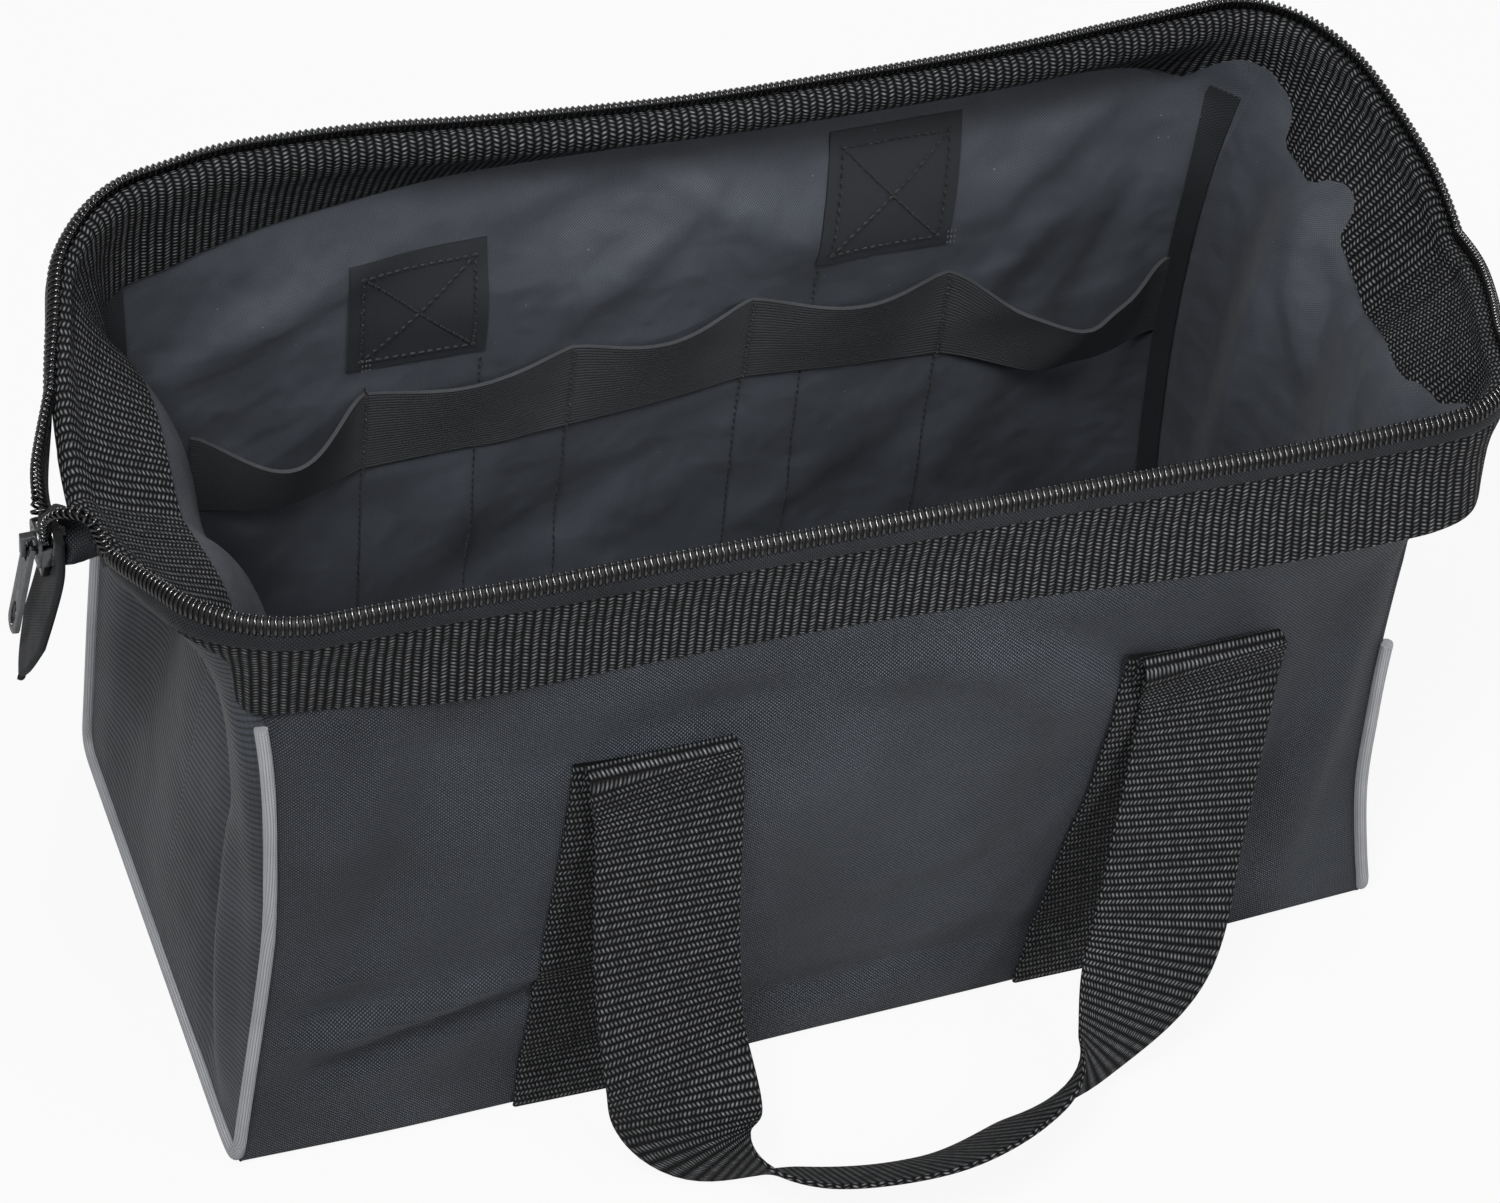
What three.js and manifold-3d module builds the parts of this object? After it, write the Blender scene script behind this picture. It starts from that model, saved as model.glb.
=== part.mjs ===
// Zippered tool bag with a wire-framed mouth that stands open.
// Millimetres. +X runs along the length, away from the slider end; -Y is the front; +Z is up.
// The origin is the middle of the flat underside of the base.
// The mouth's two U-shaped wires lie in bands of folded webbing and meet at the middle of each end.

import * as THREE from 'three';
import { mergeVertices } from 'three/addons/utils/BufferGeometryUtils.js';
import Module from 'manifold-3d';

const wasm = await Module();
wasm.setup();

// Base and walls
const BASE_LENGTH = 400;
const BASE_DEPTH = 176;
const BASE_SKIN = 2;
const BOARD_THICKNESS = 4;
const BOARD_INSET = 10;
const CLOTH = 1.6;
const SEAM_HEIGHT = 3;
const FIT = 0.3;

// Mouth frame
const WIRE_HEIGHT = 241.5;
const WIRE_DIAMETER = 4;
const MOUTH_DEPTH = 190;
const CORNER_SPAN = 413;
const CORNER_RADIUS = 27;
const LEFT_BOW = 17.5;
const RIGHT_BOW = 5;
const HINGE_DROP = 28;
const HINGE_COVER_LENGTH = 32;
const ARC_STEPS = 7;

// Fold of each end wall: how far inside the base's edge it hangs, and how far below the band
const LEFT_FOLD_INSET = 13;
const RIGHT_FOLD_INSET = 16;
const FOLD_DROP = 38;
const WALL_LIFT = 90;

// Room below the corner bands, which swing past the walls' top corners as the mouth closes
const CORNER_SWING = 3.8;

// Band of webbing folded over the wire
const BAND_THICKNESS = 1.4;
const BAND_OUTER_DROP = 32;
const BAND_INNER_DROP = 30;
const WIRE_CLEARANCE = 0.4;

// Zip tape and coil
const TAPE_THICKNESS = 0.9;
const TAPE_HEIGHT = 6.2;
const TAPE_LEAN = THREE.MathUtils.degToRad(24);
const COIL_WIDTH = 4.6;
const COIL_THICKNESS = 2.8;
const ZIP_STOP = 34;

// Slider, its pull and the tab behind it
const SLIDER_DROP = 19.5;
const SLIDER_CENTRE = new THREE.Vector3(-241, -14, WIRE_HEIGHT - SLIDER_DROP);
const SLIDER_LENGTH = 14;
const SLIDER_WIDTH = 11;
const SLIDER_THICKNESS = 5.4;
const SLIDER_PLATE = 1.1;
const SLIDER_TAIL_WIDTH = 8;
const POST_WIDTH = 2;
const FLANGE_THICKNESS = 1;
const CHAIN_BELOW_SLIDER = 6;
const BRIDGE_WIDTH = 2.4;
const BRIDGE_BAR = 1.4;
const BRIDGE_HOLE_HEIGHT = 5;
const BRIDGE_HOLE_DEPTH = 2.8;
const PULL_LENGTH = 36;
const PULL_REST = THREE.MathUtils.degToRad(9);
const PULL_WIDTH = 8;
const PULL_THICKNESS = 1.5;
const PULL_BAR = 1.6;
const PULL_WINDOW_WIDTH = 3.6;
const PULL_WINDOW_HEIGHT = 5;
const PULL_EYE_WIDTH = 4;
const PULL_EYE_HEIGHT = 10;
const TAB_LENGTH = 58;
const TAB_RISE = -1;
const TAB_POINT = 26;
const TAB_SLANT = THREE.MathUtils.degToRad(13);
const TAB_WIDTH = 20;
const TAB_THICKNESS = 2.6;

// Handles of one webbing width, sewn up the walls and folded over into free loops
const WEBBING_WIDTH = 48;
const WEBBING_THICKNESS = 1.8;
const FOLD_HEIGHT = 168;
const FOLD_RADIUS = 2.8;
const FRONT_STRAPS_X = [-78, 102];
const BACK_STRAPS_X = [76, -91];

// Middle of a loop's two legs and of its run, as [distance from the first strap, outward, height]
const FIRST_LEG = [[7, 103.5, 145], [7, 117, 96], [12, 132, 56], [26, 148, 30]];
const LOOP_RUN = [[52, 162, 23], [84, 168, 22], [118, 161, 23]];
const SECOND_LEG = [[147, 148, 30], [169, 133, 56], [179, 117, 96], [186, 103.5, 145]];
const FIRST_TOP = 7;
const SECOND_TOP = 187;
const RUN_TILT = THREE.MathUtils.degToRad(40);

// Corner piping
const PIPING_DIAMETER = 4.3;
const PIPING_SWING = 2.3;

// Inside of the back wall
const PATCH_SIZE = 50;
const LEFT_PATCH_DROP = 37.5;
const RIGHT_PATCH_DROP = 30.5;
const PATCH_THICKNESS = 1.2;
const ELASTIC_HEIGHT = 37;
const ELASTIC_BOTTOM = 106;
const ELASTIC_THICKNESS = 1.4;
const ELASTIC_SAG = 15;
const INNER_POCKET_SEAMS = [-166, -107, -36, 26, 97];
const BINDING_WIDTH = 14;

// Colours and finishes
const OUTER_CLOTH = { color: 0x2b2d32, roughness: 0.9, metalness: 0 };
const LINING = { color: 0x3c3e44, roughness: 0.7, metalness: 0 };
const WEBBING = { color: 0x232526, roughness: 0.85, metalness: 0 };
const ELASTIC = { color: 0x1c1e1f, roughness: 0.85, metalness: 0 };
const PIPING = { color: 0xa5a3aa, roughness: 0.6, metalness: 0 };
const STEEL = { color: 0x8a8d90, roughness: 0.35, metalness: 1 };
const GUNMETAL = { color: 0x5a5f62, roughness: 0.3, metalness: 1 };
const NYLON = { color: 0x121214, roughness: 0.3, metalness: 0 };

const HALF_LENGTH = BASE_LENGTH / 2;
const HALF_DEPTH = BASE_DEPTH / 2;
const MOUTH_HALF = MOUTH_DEPTH / 2;
const CORNER_X = CORNER_SPAN / 2;
const SPLIT_X = CORNER_X - CORNER_RADIUS;
const WIRE_RADIUS = WIRE_DIAMETER / 2;
const CHANNEL = WIRE_RADIUS + WIRE_CLEARANCE;
const ARM_STOP = HINGE_COVER_LENGTH / 2;
const WALL_BOTTOM = BASE_SKIN + 2 * FIT;
const PIPING_BOTTOM = BASE_SKIN + FIT;
const FRONT = -1;
const BACK = 1;

// Shared building functions

function turnedOutward(geometry) {
  // Merges equal corners and makes all faces point out of the solid.
  const bare = new THREE.BufferGeometry();
  bare.setAttribute('position', geometry.getAttribute('position').clone());
  if (geometry.index) {
    bare.setIndex(Array.from(geometry.index.array));
  }
  const merged = mergeVertices(bare, 1e-4);
  const at = merged.getAttribute('position');
  const index = Array.from(merged.index.array);
  const [a, b, c] = [new THREE.Vector3(), new THREE.Vector3(), new THREE.Vector3()];
  let volume = 0;
  for (let i = 0; i < index.length; i += 3) {
    a.fromBufferAttribute(at, index[i]);
    b.fromBufferAttribute(at, index[i + 1]);
    c.fromBufferAttribute(at, index[i + 2]);
    volume += a.dot(b.cross(c));
  }
  if (volume < 0) {
    for (let i = 0; i < index.length; i += 3) {
      [index[i + 1], index[i + 2]] = [index[i + 2], index[i + 1]];
    }
  }
  merged.setIndex(index);
  merged.computeVertexNormals();
  return merged;
}

function ringSolid(rings, endFaces) {
  // Joins equal rings of points into one solid, closed at both ends by the same triangles.
  const points = rings.flat();
  const count = rings[0].length;
  const index = [];
  for (let i = 0; i + 1 < rings.length; i += 1) {
    for (let j = 0; j < count; j += 1) {
      const a = i * count + j;
      const b = i * count + (j + 1) % count;
      index.push(a, b, b + count, a, b + count, a + count);
    }
  }
  const last = (rings.length - 1) * count;
  for (const [a, b, c] of endFaces) {
    index.push(a, c, b, last + a, last + b, last + c);
  }
  const geometry = new THREE.BufferGeometry().setFromPoints(points);
  geometry.setIndex(index);
  return turnedOutward(geometry);
}

function endFacesOf(section) {
  // Triangles over a flat section, facing the way its points run.
  const faces = THREE.ShapeUtils.triangulateShape(section, []);
  return THREE.ShapeUtils.isClockWise(section) ? faces.map(([a, b, c]) => [a, c, b]) : faces;
}

function sweepUpright(section, path) {
  // Sweeps a section of (outward, up) points along a path, always upright.
  const rings = path.map((point, i) => {
    const before = path[Math.max(i - 1, 0)];
    const after = path[Math.min(i + 1, path.length - 1)];
    const out = new THREE.Vector3(after.y - before.y, before.x - after.x, 0).normalize();
    const up = new THREE.Vector3(0, 0, 1);
    return section.map((p) => point.clone().addScaledVector(out, p.x).addScaledVector(up, p.y));
  });
  return ringSolid(rings, endFacesOf(section));
}

function sheet(surface, columns, rows, thickness) {
  // Gives the surface(u, v), with u and v from 0 to 1, an even thickness.
  const small = 1e-3;
  const normal = (u, v) => {
    const du = surface(Math.min(u + small, 1), v).sub(surface(Math.max(u - small, 0), v));
    const dv = surface(u, Math.min(v + small, 1)).sub(surface(u, Math.max(v - small, 0)));
    return du.cross(dv).normalize();
  };
  const rings = [];
  for (let i = 0; i <= columns; i += 1) {
    const u = i / columns;
    const face = (share) => Array.from({ length: rows + 1 }, (_, k) => (
      surface(u, k / rows).addScaledVector(normal(u, k / rows), share * thickness)
    ));
    rings.push([...face(0.5), ...face(-0.5).reverse()]);
  }
  const endFaces = [];
  for (let k = 0; k < rows; k += 1) {
    const across = 2 * rows + 1 - k;
    endFaces.push([k, k + 1, across - 1], [k, across - 1, across]);
  }
  return ringSolid(rings, endFaces);
}

function tube(points, diameter, sides, steps) {
  const section = new THREE.Shape();
  section.absarc(0, 0, diameter / 2, 0, 2 * Math.PI, false);
  return turnedOutward(new THREE.ExtrudeGeometry(section, {
    extrudePath: new THREE.CatmullRomCurve3(points),
    steps,
    curveSegments: sides / 2,
  }));
}

function box(x, y, z) {
  // A box from [low, high] pairs along each axis.
  const geometry = new THREE.BoxGeometry(x[1] - x[0], y[1] - y[0], z[1] - z[0]);
  geometry.translate((x[0] + x[1]) / 2, (y[0] + y[1]) / 2, (z[0] + z[1]) / 2);
  return geometry;
}

function solid(geometry) {
  const merged = turnedOutward(geometry);
  return new wasm.Manifold(new wasm.Mesh({
    numProp: 3,
    vertProperties: new Float32Array(merged.getAttribute('position').array),
    triVerts: new Uint32Array(merged.index.array),
  }));
}

function geometryOf(manifold) {
  const { vertProperties, triVerts } = manifold.getMesh();
  const geometry = new THREE.BufferGeometry();
  geometry.setAttribute('position', new THREE.Float32BufferAttribute(vertProperties, 3));
  geometry.setIndex(Array.from(triVerts));
  return turnedOutward(geometry);
}

function mesh(name, geometry, finish) {
  const made = new THREE.Mesh(geometry, new THREE.MeshStandardMaterial(finish));
  made.name = name;
  return made;
}

// Front and back walls

function wallY(height) {
  // Distance of a wall's middle surface from the centre plane, at a height.
  const rise = (height - SEAM_HEIGHT) / (WIRE_HEIGHT - SEAM_HEIGHT);
  return HALF_DEPTH + (MOUTH_HALF - HALF_DEPTH) * rise;
}

function onWall(side, outline, near, far) {
  // A flat piece on a wall: an outline of (x, height) points between two distances outward of it.
  const shape = new THREE.Shape(outline.map(([x, z]) => new THREE.Vector2(x, z)));
  const geometry = new THREE.ExtrudeGeometry(shape, { depth: far - near, bevelEnabled: false });
  const at = geometry.getAttribute('position');
  for (let i = 0; i < at.count; i += 1) {
    const height = at.getY(i);
    at.setXYZ(i, at.getX(i), side * (wallY(height) + near + at.getZ(i)), height);
  }
  return turnedOutward(geometry);
}

function rectangle(left, right, bottom, top) {
  return [[left, bottom], [right, bottom], [right, top], [left, top]];
}

const BAND_BOTTOM = WIRE_HEIGHT - BAND_OUTER_DROP;
const SHOULDER = BAND_BOTTOM - CORNER_SWING;
const PIPING_TOP = SHOULDER - PIPING_DIAMETER - FIT;
const WALL_HALF_WIDTH = HALF_LENGTH - PIPING_DIAMETER / 2 - FIT;

function wall(side) {
  // Full width up to the corner bands, then narrower and into the long band's channel.
  const top = WIRE_HEIGHT - CHANNEL - FIT;
  const neck = SPLIT_X - 2 * FIT;
  return onWall(side, [
    [-WALL_HALF_WIDTH, WALL_BOTTOM],
    [WALL_HALF_WIDTH, WALL_BOTTOM],
    [WALL_HALF_WIDTH, SHOULDER],
    [neck, SHOULDER],
    [neck, top],
    [-neck, top],
    [-neck, SHOULDER],
    [-WALL_HALF_WIDTH, SHOULDER],
  ], -CLOTH / 2, CLOTH / 2);
}

const BINDING_INNER_X = WALL_HALF_WIDTH - CLOTH - BINDING_WIDTH;
const POCKET_SEAMS = [...INNER_POCKET_SEAMS, BINDING_INNER_X - FIT];
const STRAP_OFFSET = CLOTH / 2 + FIT + WEBBING_THICKNESS / 2;
const FOLD_Y = wallY(FOLD_HEIGHT) + STRAP_OFFSET + FOLD_RADIUS;

function sewnStrap(side, x) {
  // Up the wall from the bottom seam, then a quarter turn over the fold line.
  const turns = 5;
  const section = [];
  for (const face of [0.5, -0.5]) {
    const low = SEAM_HEIGHT + FIT;
    const line = [[wallY(low) + STRAP_OFFSET - face * WEBBING_THICKNESS, low]];
    for (let i = 0; i <= turns; i += 1) {
      const angle = Math.PI - (Math.PI / 2) * (i / turns);
      const radius = FOLD_RADIUS + face * WEBBING_THICKNESS;
      line.push([FOLD_Y + radius * Math.cos(angle), FOLD_HEIGHT + radius * Math.sin(angle)]);
    }
    section.push(...(face > 0 ? line : line.reverse()));
  }
  const half = WEBBING_WIDTH / 2;
  const ring = (at) => section.map(([y, z]) => new THREE.Vector3(at, side * y, z));
  const outline = section.map(([y, z]) => new THREE.Vector2(y, z));
  return ringSolid([ring(x - half), ring(x + half)], endFacesOf(outline));
}

function wallPiping(side, end) {
  const heights = [PIPING_BOTTOM + PIPING_DIAMETER + FIT, PIPING_TOP / 2, PIPING_TOP];
  const points = heights.map((z) => new THREE.Vector3(end * HALF_LENGTH, side * wallY(z), z));
  return tube(points, PIPING_DIAMETER, 10, 6);
}

function patch(x, top) {
  const far = -CLOTH / 2 - FIT;
  const half = PATCH_SIZE / 2;
  const outline = rectangle(x - half, x + half, top - PATCH_SIZE, top);
  return onWall(BACK, outline, far - PATCH_THICKNESS, far);
}

function elasticBand() {
  // Lies on the wall at each seam and sags off it between two seams.
  const stepsPerPocket = 10;
  const pockets = POCKET_SEAMS.length - 1;
  const flush = CLOTH / 2 + FIT + ELASTIC_THICKNESS / 2;
  const surface = (u, v) => {
    const place = Math.min(u * pockets, pockets - 1e-9);
    const pocket = Math.floor(place);
    const across = place - pocket;
    const x = THREE.MathUtils.lerp(POCKET_SEAMS[pocket], POCKET_SEAMS[pocket + 1], across);
    const z = ELASTIC_BOTTOM + v * ELASTIC_HEIGHT;
    const sag = ELASTIC_SAG * Math.sin(Math.PI * across) ** 2;
    return new THREE.Vector3(x, wallY(z) - flush - sag, z);
  };
  return sheet(surface, pockets * stepsPerPocket, 1, ELASTIC_THICKNESS);
}

function cornerBinding(side, end) {
  // Tape over the inside of an upright seam, on the wall.
  const far = -CLOTH / 2 - FIT;
  const inner = end * BINDING_INNER_X;
  const outer = inner + end * BINDING_WIDTH;
  const low = BASE_SKIN + BOARD_THICKNESS + SEAM_HEIGHT;
  const outline = rectangle(Math.min(inner, outer), Math.max(inner, outer), low, SHOULDER);
  return onWall(side, outline, far - PATCH_THICKNESS, far);
}

// Mouth frame paths, each running counter-clockwise as seen from above

function framePoint(side, x, y) {
  // A point of the wire: level along the long side and dropping towards the hinge of each end.
  const z = WIRE_HEIGHT - HINGE_DROP * (1 - y / MOUTH_HALF);
  return new THREE.Vector3(x, side * y, z);
}

function armX(end, y) {
  // An arm's reach at a distance y from the middle of the end.
  const bow = end < 0 ? LEFT_BOW : RIGHT_BOW;
  return CORNER_X + bow * (1 - y / MOUTH_HALF);
}

function cornerArc(end) {
  // The corner from the long side to the arm, as distances from both middle lines.
  const along = new THREE.Vector2(armX(end, 0) - CORNER_X, -MOUTH_HALF).normalize();
  const turn = Math.acos(-along.x);
  const tangent = CORNER_RADIUS / Math.tan(turn / 2);
  const points = [];
  for (let i = 0; i <= ARC_STEPS; i += 1) {
    const angle = Math.PI / 2 - (Math.PI - turn) * (i / ARC_STEPS);
    const x = CORNER_X - tangent + CORNER_RADIUS * Math.cos(angle);
    points.push([x, MOUTH_HALF - CORNER_RADIUS + CORNER_RADIUS * Math.sin(angle)]);
  }
  return points;
}

function armPath(side, end, stopY) {
  // From the long side round the corner to a distance from the middle of the end.
  const arc = cornerArc(end);
  const middle = (arc[ARC_STEPS][1] + stopY) / 2;
  const plan = [[SPLIT_X + FIT / 2, MOUTH_HALF], ...arc, [armX(end, middle), middle]];
  plan.push([armX(end, stopY), stopY]);
  const path = plan.map(([x, y]) => framePoint(side, end * x, y));
  return side * end < 0 ? path : path.reverse();
}

function longPath(side) {
  const reach = SPLIT_X - FIT / 2;
  const path = [-reach, 0, reach].map((x) => framePoint(side, x, MOUTH_HALF));
  return side < 0 ? path : path.reverse();
}

function hingePath(end, reach) {
  // Over the middle of an end, from one arm to the other.
  const path = [reach, 0, reach].map((y) => framePoint(BACK, end * armX(end, y), y));
  path[0].y = -reach;
  return end > 0 ? path : path.reverse();
}

// Mouth frame pieces

function bandSection() {
  // Webbing folded over the wire: an upside-down U.
  const turns = 6;
  const face = CHANNEL + BAND_THICKNESS;
  const outer = [];
  const inner = [];
  for (let i = 0; i <= turns; i += 1) {
    const angle = Math.PI * (i / turns);
    outer.push([face * Math.cos(angle), face * Math.sin(angle)]);
    inner.push([CHANNEL * Math.cos(angle), CHANNEL * Math.sin(angle)]);
  }
  const outline = [
    [face, -BAND_OUTER_DROP],
    ...outer,
    [-face, -BAND_INNER_DROP],
    [-CHANNEL, -BAND_INNER_DROP],
    ...inner.reverse(),
    [CHANNEL, -BAND_OUTER_DROP],
  ];
  return outline.map(([n, z]) => new THREE.Vector2(n, z));
}

const TAPE_FOOT = CHANNEL + BAND_THICKNESS + FIT + TAPE_THICKNESS / 2;

function leaning(outline) {
  // Turns (across, along) points of the zip's section to lean inwards from the band's top.
  return outline.map(([across, along]) => new THREE.Vector2(
    across * Math.cos(TAPE_LEAN) - along * Math.sin(TAPE_LEAN),
    TAPE_FOOT + across * Math.sin(TAPE_LEAN) + along * Math.cos(TAPE_LEAN),
  ));
}

function tapeSection() {
  const half = TAPE_THICKNESS / 2;
  return leaning([[half, 0], [half, TAPE_HEIGHT], [-half, TAPE_HEIGHT], [-half, 0]]);
}

function coilSection() {
  const sides = 8;
  const outline = [];
  for (let i = 0; i < sides; i += 1) {
    const angle = (2 * Math.PI * (i + 0.5)) / sides;
    const along = TAPE_HEIGHT + FIT + (COIL_WIDTH / 2) * (1 + Math.sin(angle));
    outline.push([(COIL_THICKNESS / 2) * Math.cos(angle), along]);
  }
  return leaning(outline);
}

function tapeAndCoilSection() {
  // Tape and coil in one, for a short soft piece of the zip.
  const half = TAPE_THICKNESS / 2;
  const top = TAPE_HEIGHT + COIL_WIDTH;
  const wide = COIL_THICKNESS / 2;
  const right = [[half, 0], [half, TAPE_HEIGHT], [wide, TAPE_HEIGHT], [wide, top]];
  return leaning([...right, [-wide, top], [-wide, TAPE_HEIGHT], [-half, TAPE_HEIGHT], [-half, 0]]);
}

function wire(side) {
  const left = armPath(side, -1, ARM_STOP);
  const right = armPath(side, 1, ARM_STOP);
  const points = side < 0 ? [...left, ...right] : [...right, ...left];
  return tube(points, WIRE_DIAMETER, 10, 80);
}

// End walls

function hermite(from, fromPull, to, toPull, t) {
  // Point of a curve between two points, each with its own direction and pull.
  const point = from.clone().multiplyScalar(2 * t ** 3 - 3 * t ** 2 + 1);
  point.addScaledVector(fromPull, t ** 3 - 2 * t ** 2 + t);
  point.addScaledVector(to, 3 * t ** 2 - 2 * t ** 3);
  return point.addScaledVector(toPull, t ** 3 - t ** 2);
}

function endWall(end) {
  // From the base edge up, inwards into its fold, out to the flap's edge and up into the channel.
  const cornerY = cornerArc(end)[ARC_STEPS][1] - FIT;
  const edgeY = wallY(BAND_BOTTOM) - PIPING_DIAMETER / 2 - FIT;
  const step = 2;
  const bottom = PIPING_BOTTOM + PIPING_DIAMETER + FIT;
  const foldX = HALF_LENGTH - (end < 0 ? LEFT_FOLD_INSET : RIGHT_FOLD_INSET);
  const foldTop = 0.85;
  const lift = new THREE.Vector3(0, 0, WALL_LIFT);
  const reachOf = (z) => wallY(Math.min(z, BAND_BOTTOM)) - PIPING_DIAMETER / 2 - FIT;
  const surface = (u, v) => {
    const share = 2 * u - 1;
    const y = share * edgeY;
    const off = Math.abs(y);
    const corner = THREE.MathUtils.smoothstep(off, cornerY, edgeY);
    const wireZ = framePoint(1, 0, off).z;
    const shoulder = THREE.MathUtils.lerp(wireZ - BAND_OUTER_DROP, SHOULDER, corner) - 4 * FIT;
    const seamX = THREE.MathUtils.lerp(armX(end, Math.min(off, cornerY)), HALF_LENGTH, corner);
    if (v > foldTop) {
      const inChannel = THREE.MathUtils.clamp((cornerY - off) / step, 0, 1);
      const top = THREE.MathUtils.lerp(shoulder, wireZ - CHANNEL - FIT, inChannel);
      const low = shoulder - 2 * FIT;
      const rise = (v - foldTop) / (1 - foldTop);
      return new THREE.Vector3(end * seamX, y, THREE.MathUtils.lerp(low, top, rise));
    }
    const t = v / foldTop;
    const base = new THREE.Vector3(end * HALF_LENGTH, share * reachOf(bottom), bottom);
    const drop = FOLD_DROP * (1 - corner);
    const crestX = THREE.MathUtils.lerp(foldX, HALF_LENGTH, corner);
    const crest = new THREE.Vector3(end * crestX, y, shoulder - drop);
    const crestAt = 0.72;
    if (t < crestAt) {
      const point = hermite(base, lift, crest, lift.clone().multiplyScalar(0.5), t / crestAt);
      point.y = THREE.MathUtils.lerp(point.y, share * reachOf(point.z), corner);
      return point;
    }
    const flap = new THREE.Vector3(end * seamX, y, shoulder - 2 * FIT);
    const turn = new THREE.Vector3(0, 0, drop);
    return hermite(crest, turn, flap, turn, (t - crestAt) / (1 - crestAt));
  };
  return sheet(surface, 44, 14, CLOTH);
}

function basePiping(end) {
  const reach = HALF_DEPTH - PIPING_DIAMETER / 2 - PIPING_SWING;
  const height = PIPING_BOTTOM + PIPING_DIAMETER / 2;
  const points = [-1, 0, 1].map((share) => new THREE.Vector3(end * HALF_LENGTH, share * reach, height));
  return tube(points, PIPING_DIAMETER, 10, 4);
}

// Base

function basePanel() {
  const reach = HALF_DEPTH + CLOTH / 2;
  return box([-HALF_LENGTH, HALF_LENGTH], [-reach, reach], [0, BASE_SKIN]);
}

function baseBoard() {
  const x = HALF_LENGTH - BOARD_INSET;
  const y = HALF_DEPTH - BOARD_INSET;
  const bottom = BASE_SKIN + FIT;
  return box([-x, x], [-y, y], [bottom, bottom + BOARD_THICKNESS]);
}

// Strips that bend in space

function ribbon(middle, across, width, thickness, steps) {
  // A strip along the middle points, with a width direction for each of them.
  const path = new THREE.CatmullRomCurve3(middle);
  const turning = new THREE.CatmullRomCurve3(across);
  const surface = (u, v) => {
    const direction = turning.getPoint(u).normalize();
    return path.getPoint(u).addScaledVector(direction, (v - 0.5) * width);
  };
  return sheet(surface, steps, 2, thickness);
}

function handle(side, [first, second]) {
  // A loop from the first fold down, along near the ground and up to the second fold.
  const start = FOLD_HEIGHT + WEBBING_THICKNESS / 2 - FIT;
  const stretch = (second - first) / (FRONT_STRAPS_X[1] - FRONT_STRAPS_X[0]);
  const middle = [
    [FIRST_TOP, FOLD_Y, start],
    ...FIRST_LEG,
    ...LOOP_RUN,
    ...SECOND_LEG,
    [SECOND_TOP, FOLD_Y, start],
  ].map(([along, out, z]) => new THREE.Vector3(first + along * stretch, side * out, z));
  const along = new THREE.Vector3(Math.sign(stretch), 0, 0);
  const upright = new THREE.Vector3(0, side * Math.sin(RUN_TILT), Math.cos(RUN_TILT));
  const firstTurn = along.clone().add(upright).normalize();
  const secondTurn = upright.clone().sub(along).normalize();
  const across = [
    along, ...FIRST_LEG.slice(1).map(() => along), firstTurn,
    ...LOOP_RUN.map(() => upright),
    secondTurn, ...SECOND_LEG.slice(1).map(() => along.clone().negate()), along.clone().negate(),
  ];
  return ribbon(middle, across, WEBBING_WIDTH, WEBBING_THICKNESS, 64);
}

function coilCentre(side, end, y) {
  const out = -TAPE_LEAN_REACH * Math.sin(TAPE_LEAN);
  const point = framePoint(side, end * armX(end, y), y);
  return point.add(new THREE.Vector3(end * out, 0, TAPE_FOOT + TAPE_LEAN_REACH * Math.cos(TAPE_LEAN)));
}

const TAPE_LEAN_REACH = TAPE_HEIGHT + FIT + COIL_WIDTH / 2;
const NOSE = new THREE.Vector3(0, 0, SLIDER_LENGTH / 2 + FIT).add(SLIDER_CENTRE);

function zipTail(side) {
  // From the end of an arm's zip, off the band, to the slider's nose.
  const width = TAPE_HEIGHT + COIL_WIDTH;
  const start = coilCentre(side, -1, ZIP_STOP - COIL_THICKNESS);
  const finish = NOSE.clone().add(new THREE.Vector3(0, side * (width / 2 + FIT), FIT));
  const down = new THREE.Vector3(Math.sin(TAPE_LEAN), 0, -Math.cos(TAPE_LEAN));
  start.addScaledVector(down, (width - COIL_WIDTH) / 2);
  const middle = start.clone().lerp(finish, 0.5);
  middle.add(new THREE.Vector3(-4, 0, 3));
  const outward = new THREE.Vector3(0, side, 0);
  const across = [down, down.clone().lerp(outward, 0.5), outward];
  return ribbon([start, middle, finish], across, width, COIL_THICKNESS, 14);
}

// Slider, pull and end tab; the slider's own frame has its nose up and its outer plate towards -X

function facingX(shape, near, far) {
  // A shape drawn in (y, z), extruded along x.
  const options = { depth: far - near, bevelEnabled: false, curveSegments: 8 };
  const made = new THREE.ExtrudeGeometry(shape, options);
  const [x, y, z] = [new THREE.Vector3(1, 0, 0), new THREE.Vector3(0, 1, 0), new THREE.Vector3(0, 0, 1)];
  made.applyMatrix4(new THREE.Matrix4().makeBasis(y, z, x));
  return made.translate(near, 0, 0);
}

function sliderOutline() {
  const nose = SLIDER_WIDTH / 2;
  const tail = SLIDER_TAIL_WIDTH / 2;
  const half = SLIDER_LENGTH / 2;
  const shoulder = half * 0.4;
  const shape = new THREE.Shape();
  shape.moveTo(-tail, -half);
  shape.lineTo(tail, -half);
  shape.lineTo(nose, shoulder);
  shape.quadraticCurveTo(nose, half, 0, half);
  shape.quadraticCurveTo(-nose, half, -nose, shoulder);
  return shape;
}

const BRIDGE_DEPTH = BRIDGE_HOLE_DEPTH + BRIDGE_BAR;
const BRIDGE_HALF_HEIGHT = BRIDGE_HOLE_HEIGHT / 2 + BRIDGE_BAR;

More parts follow.
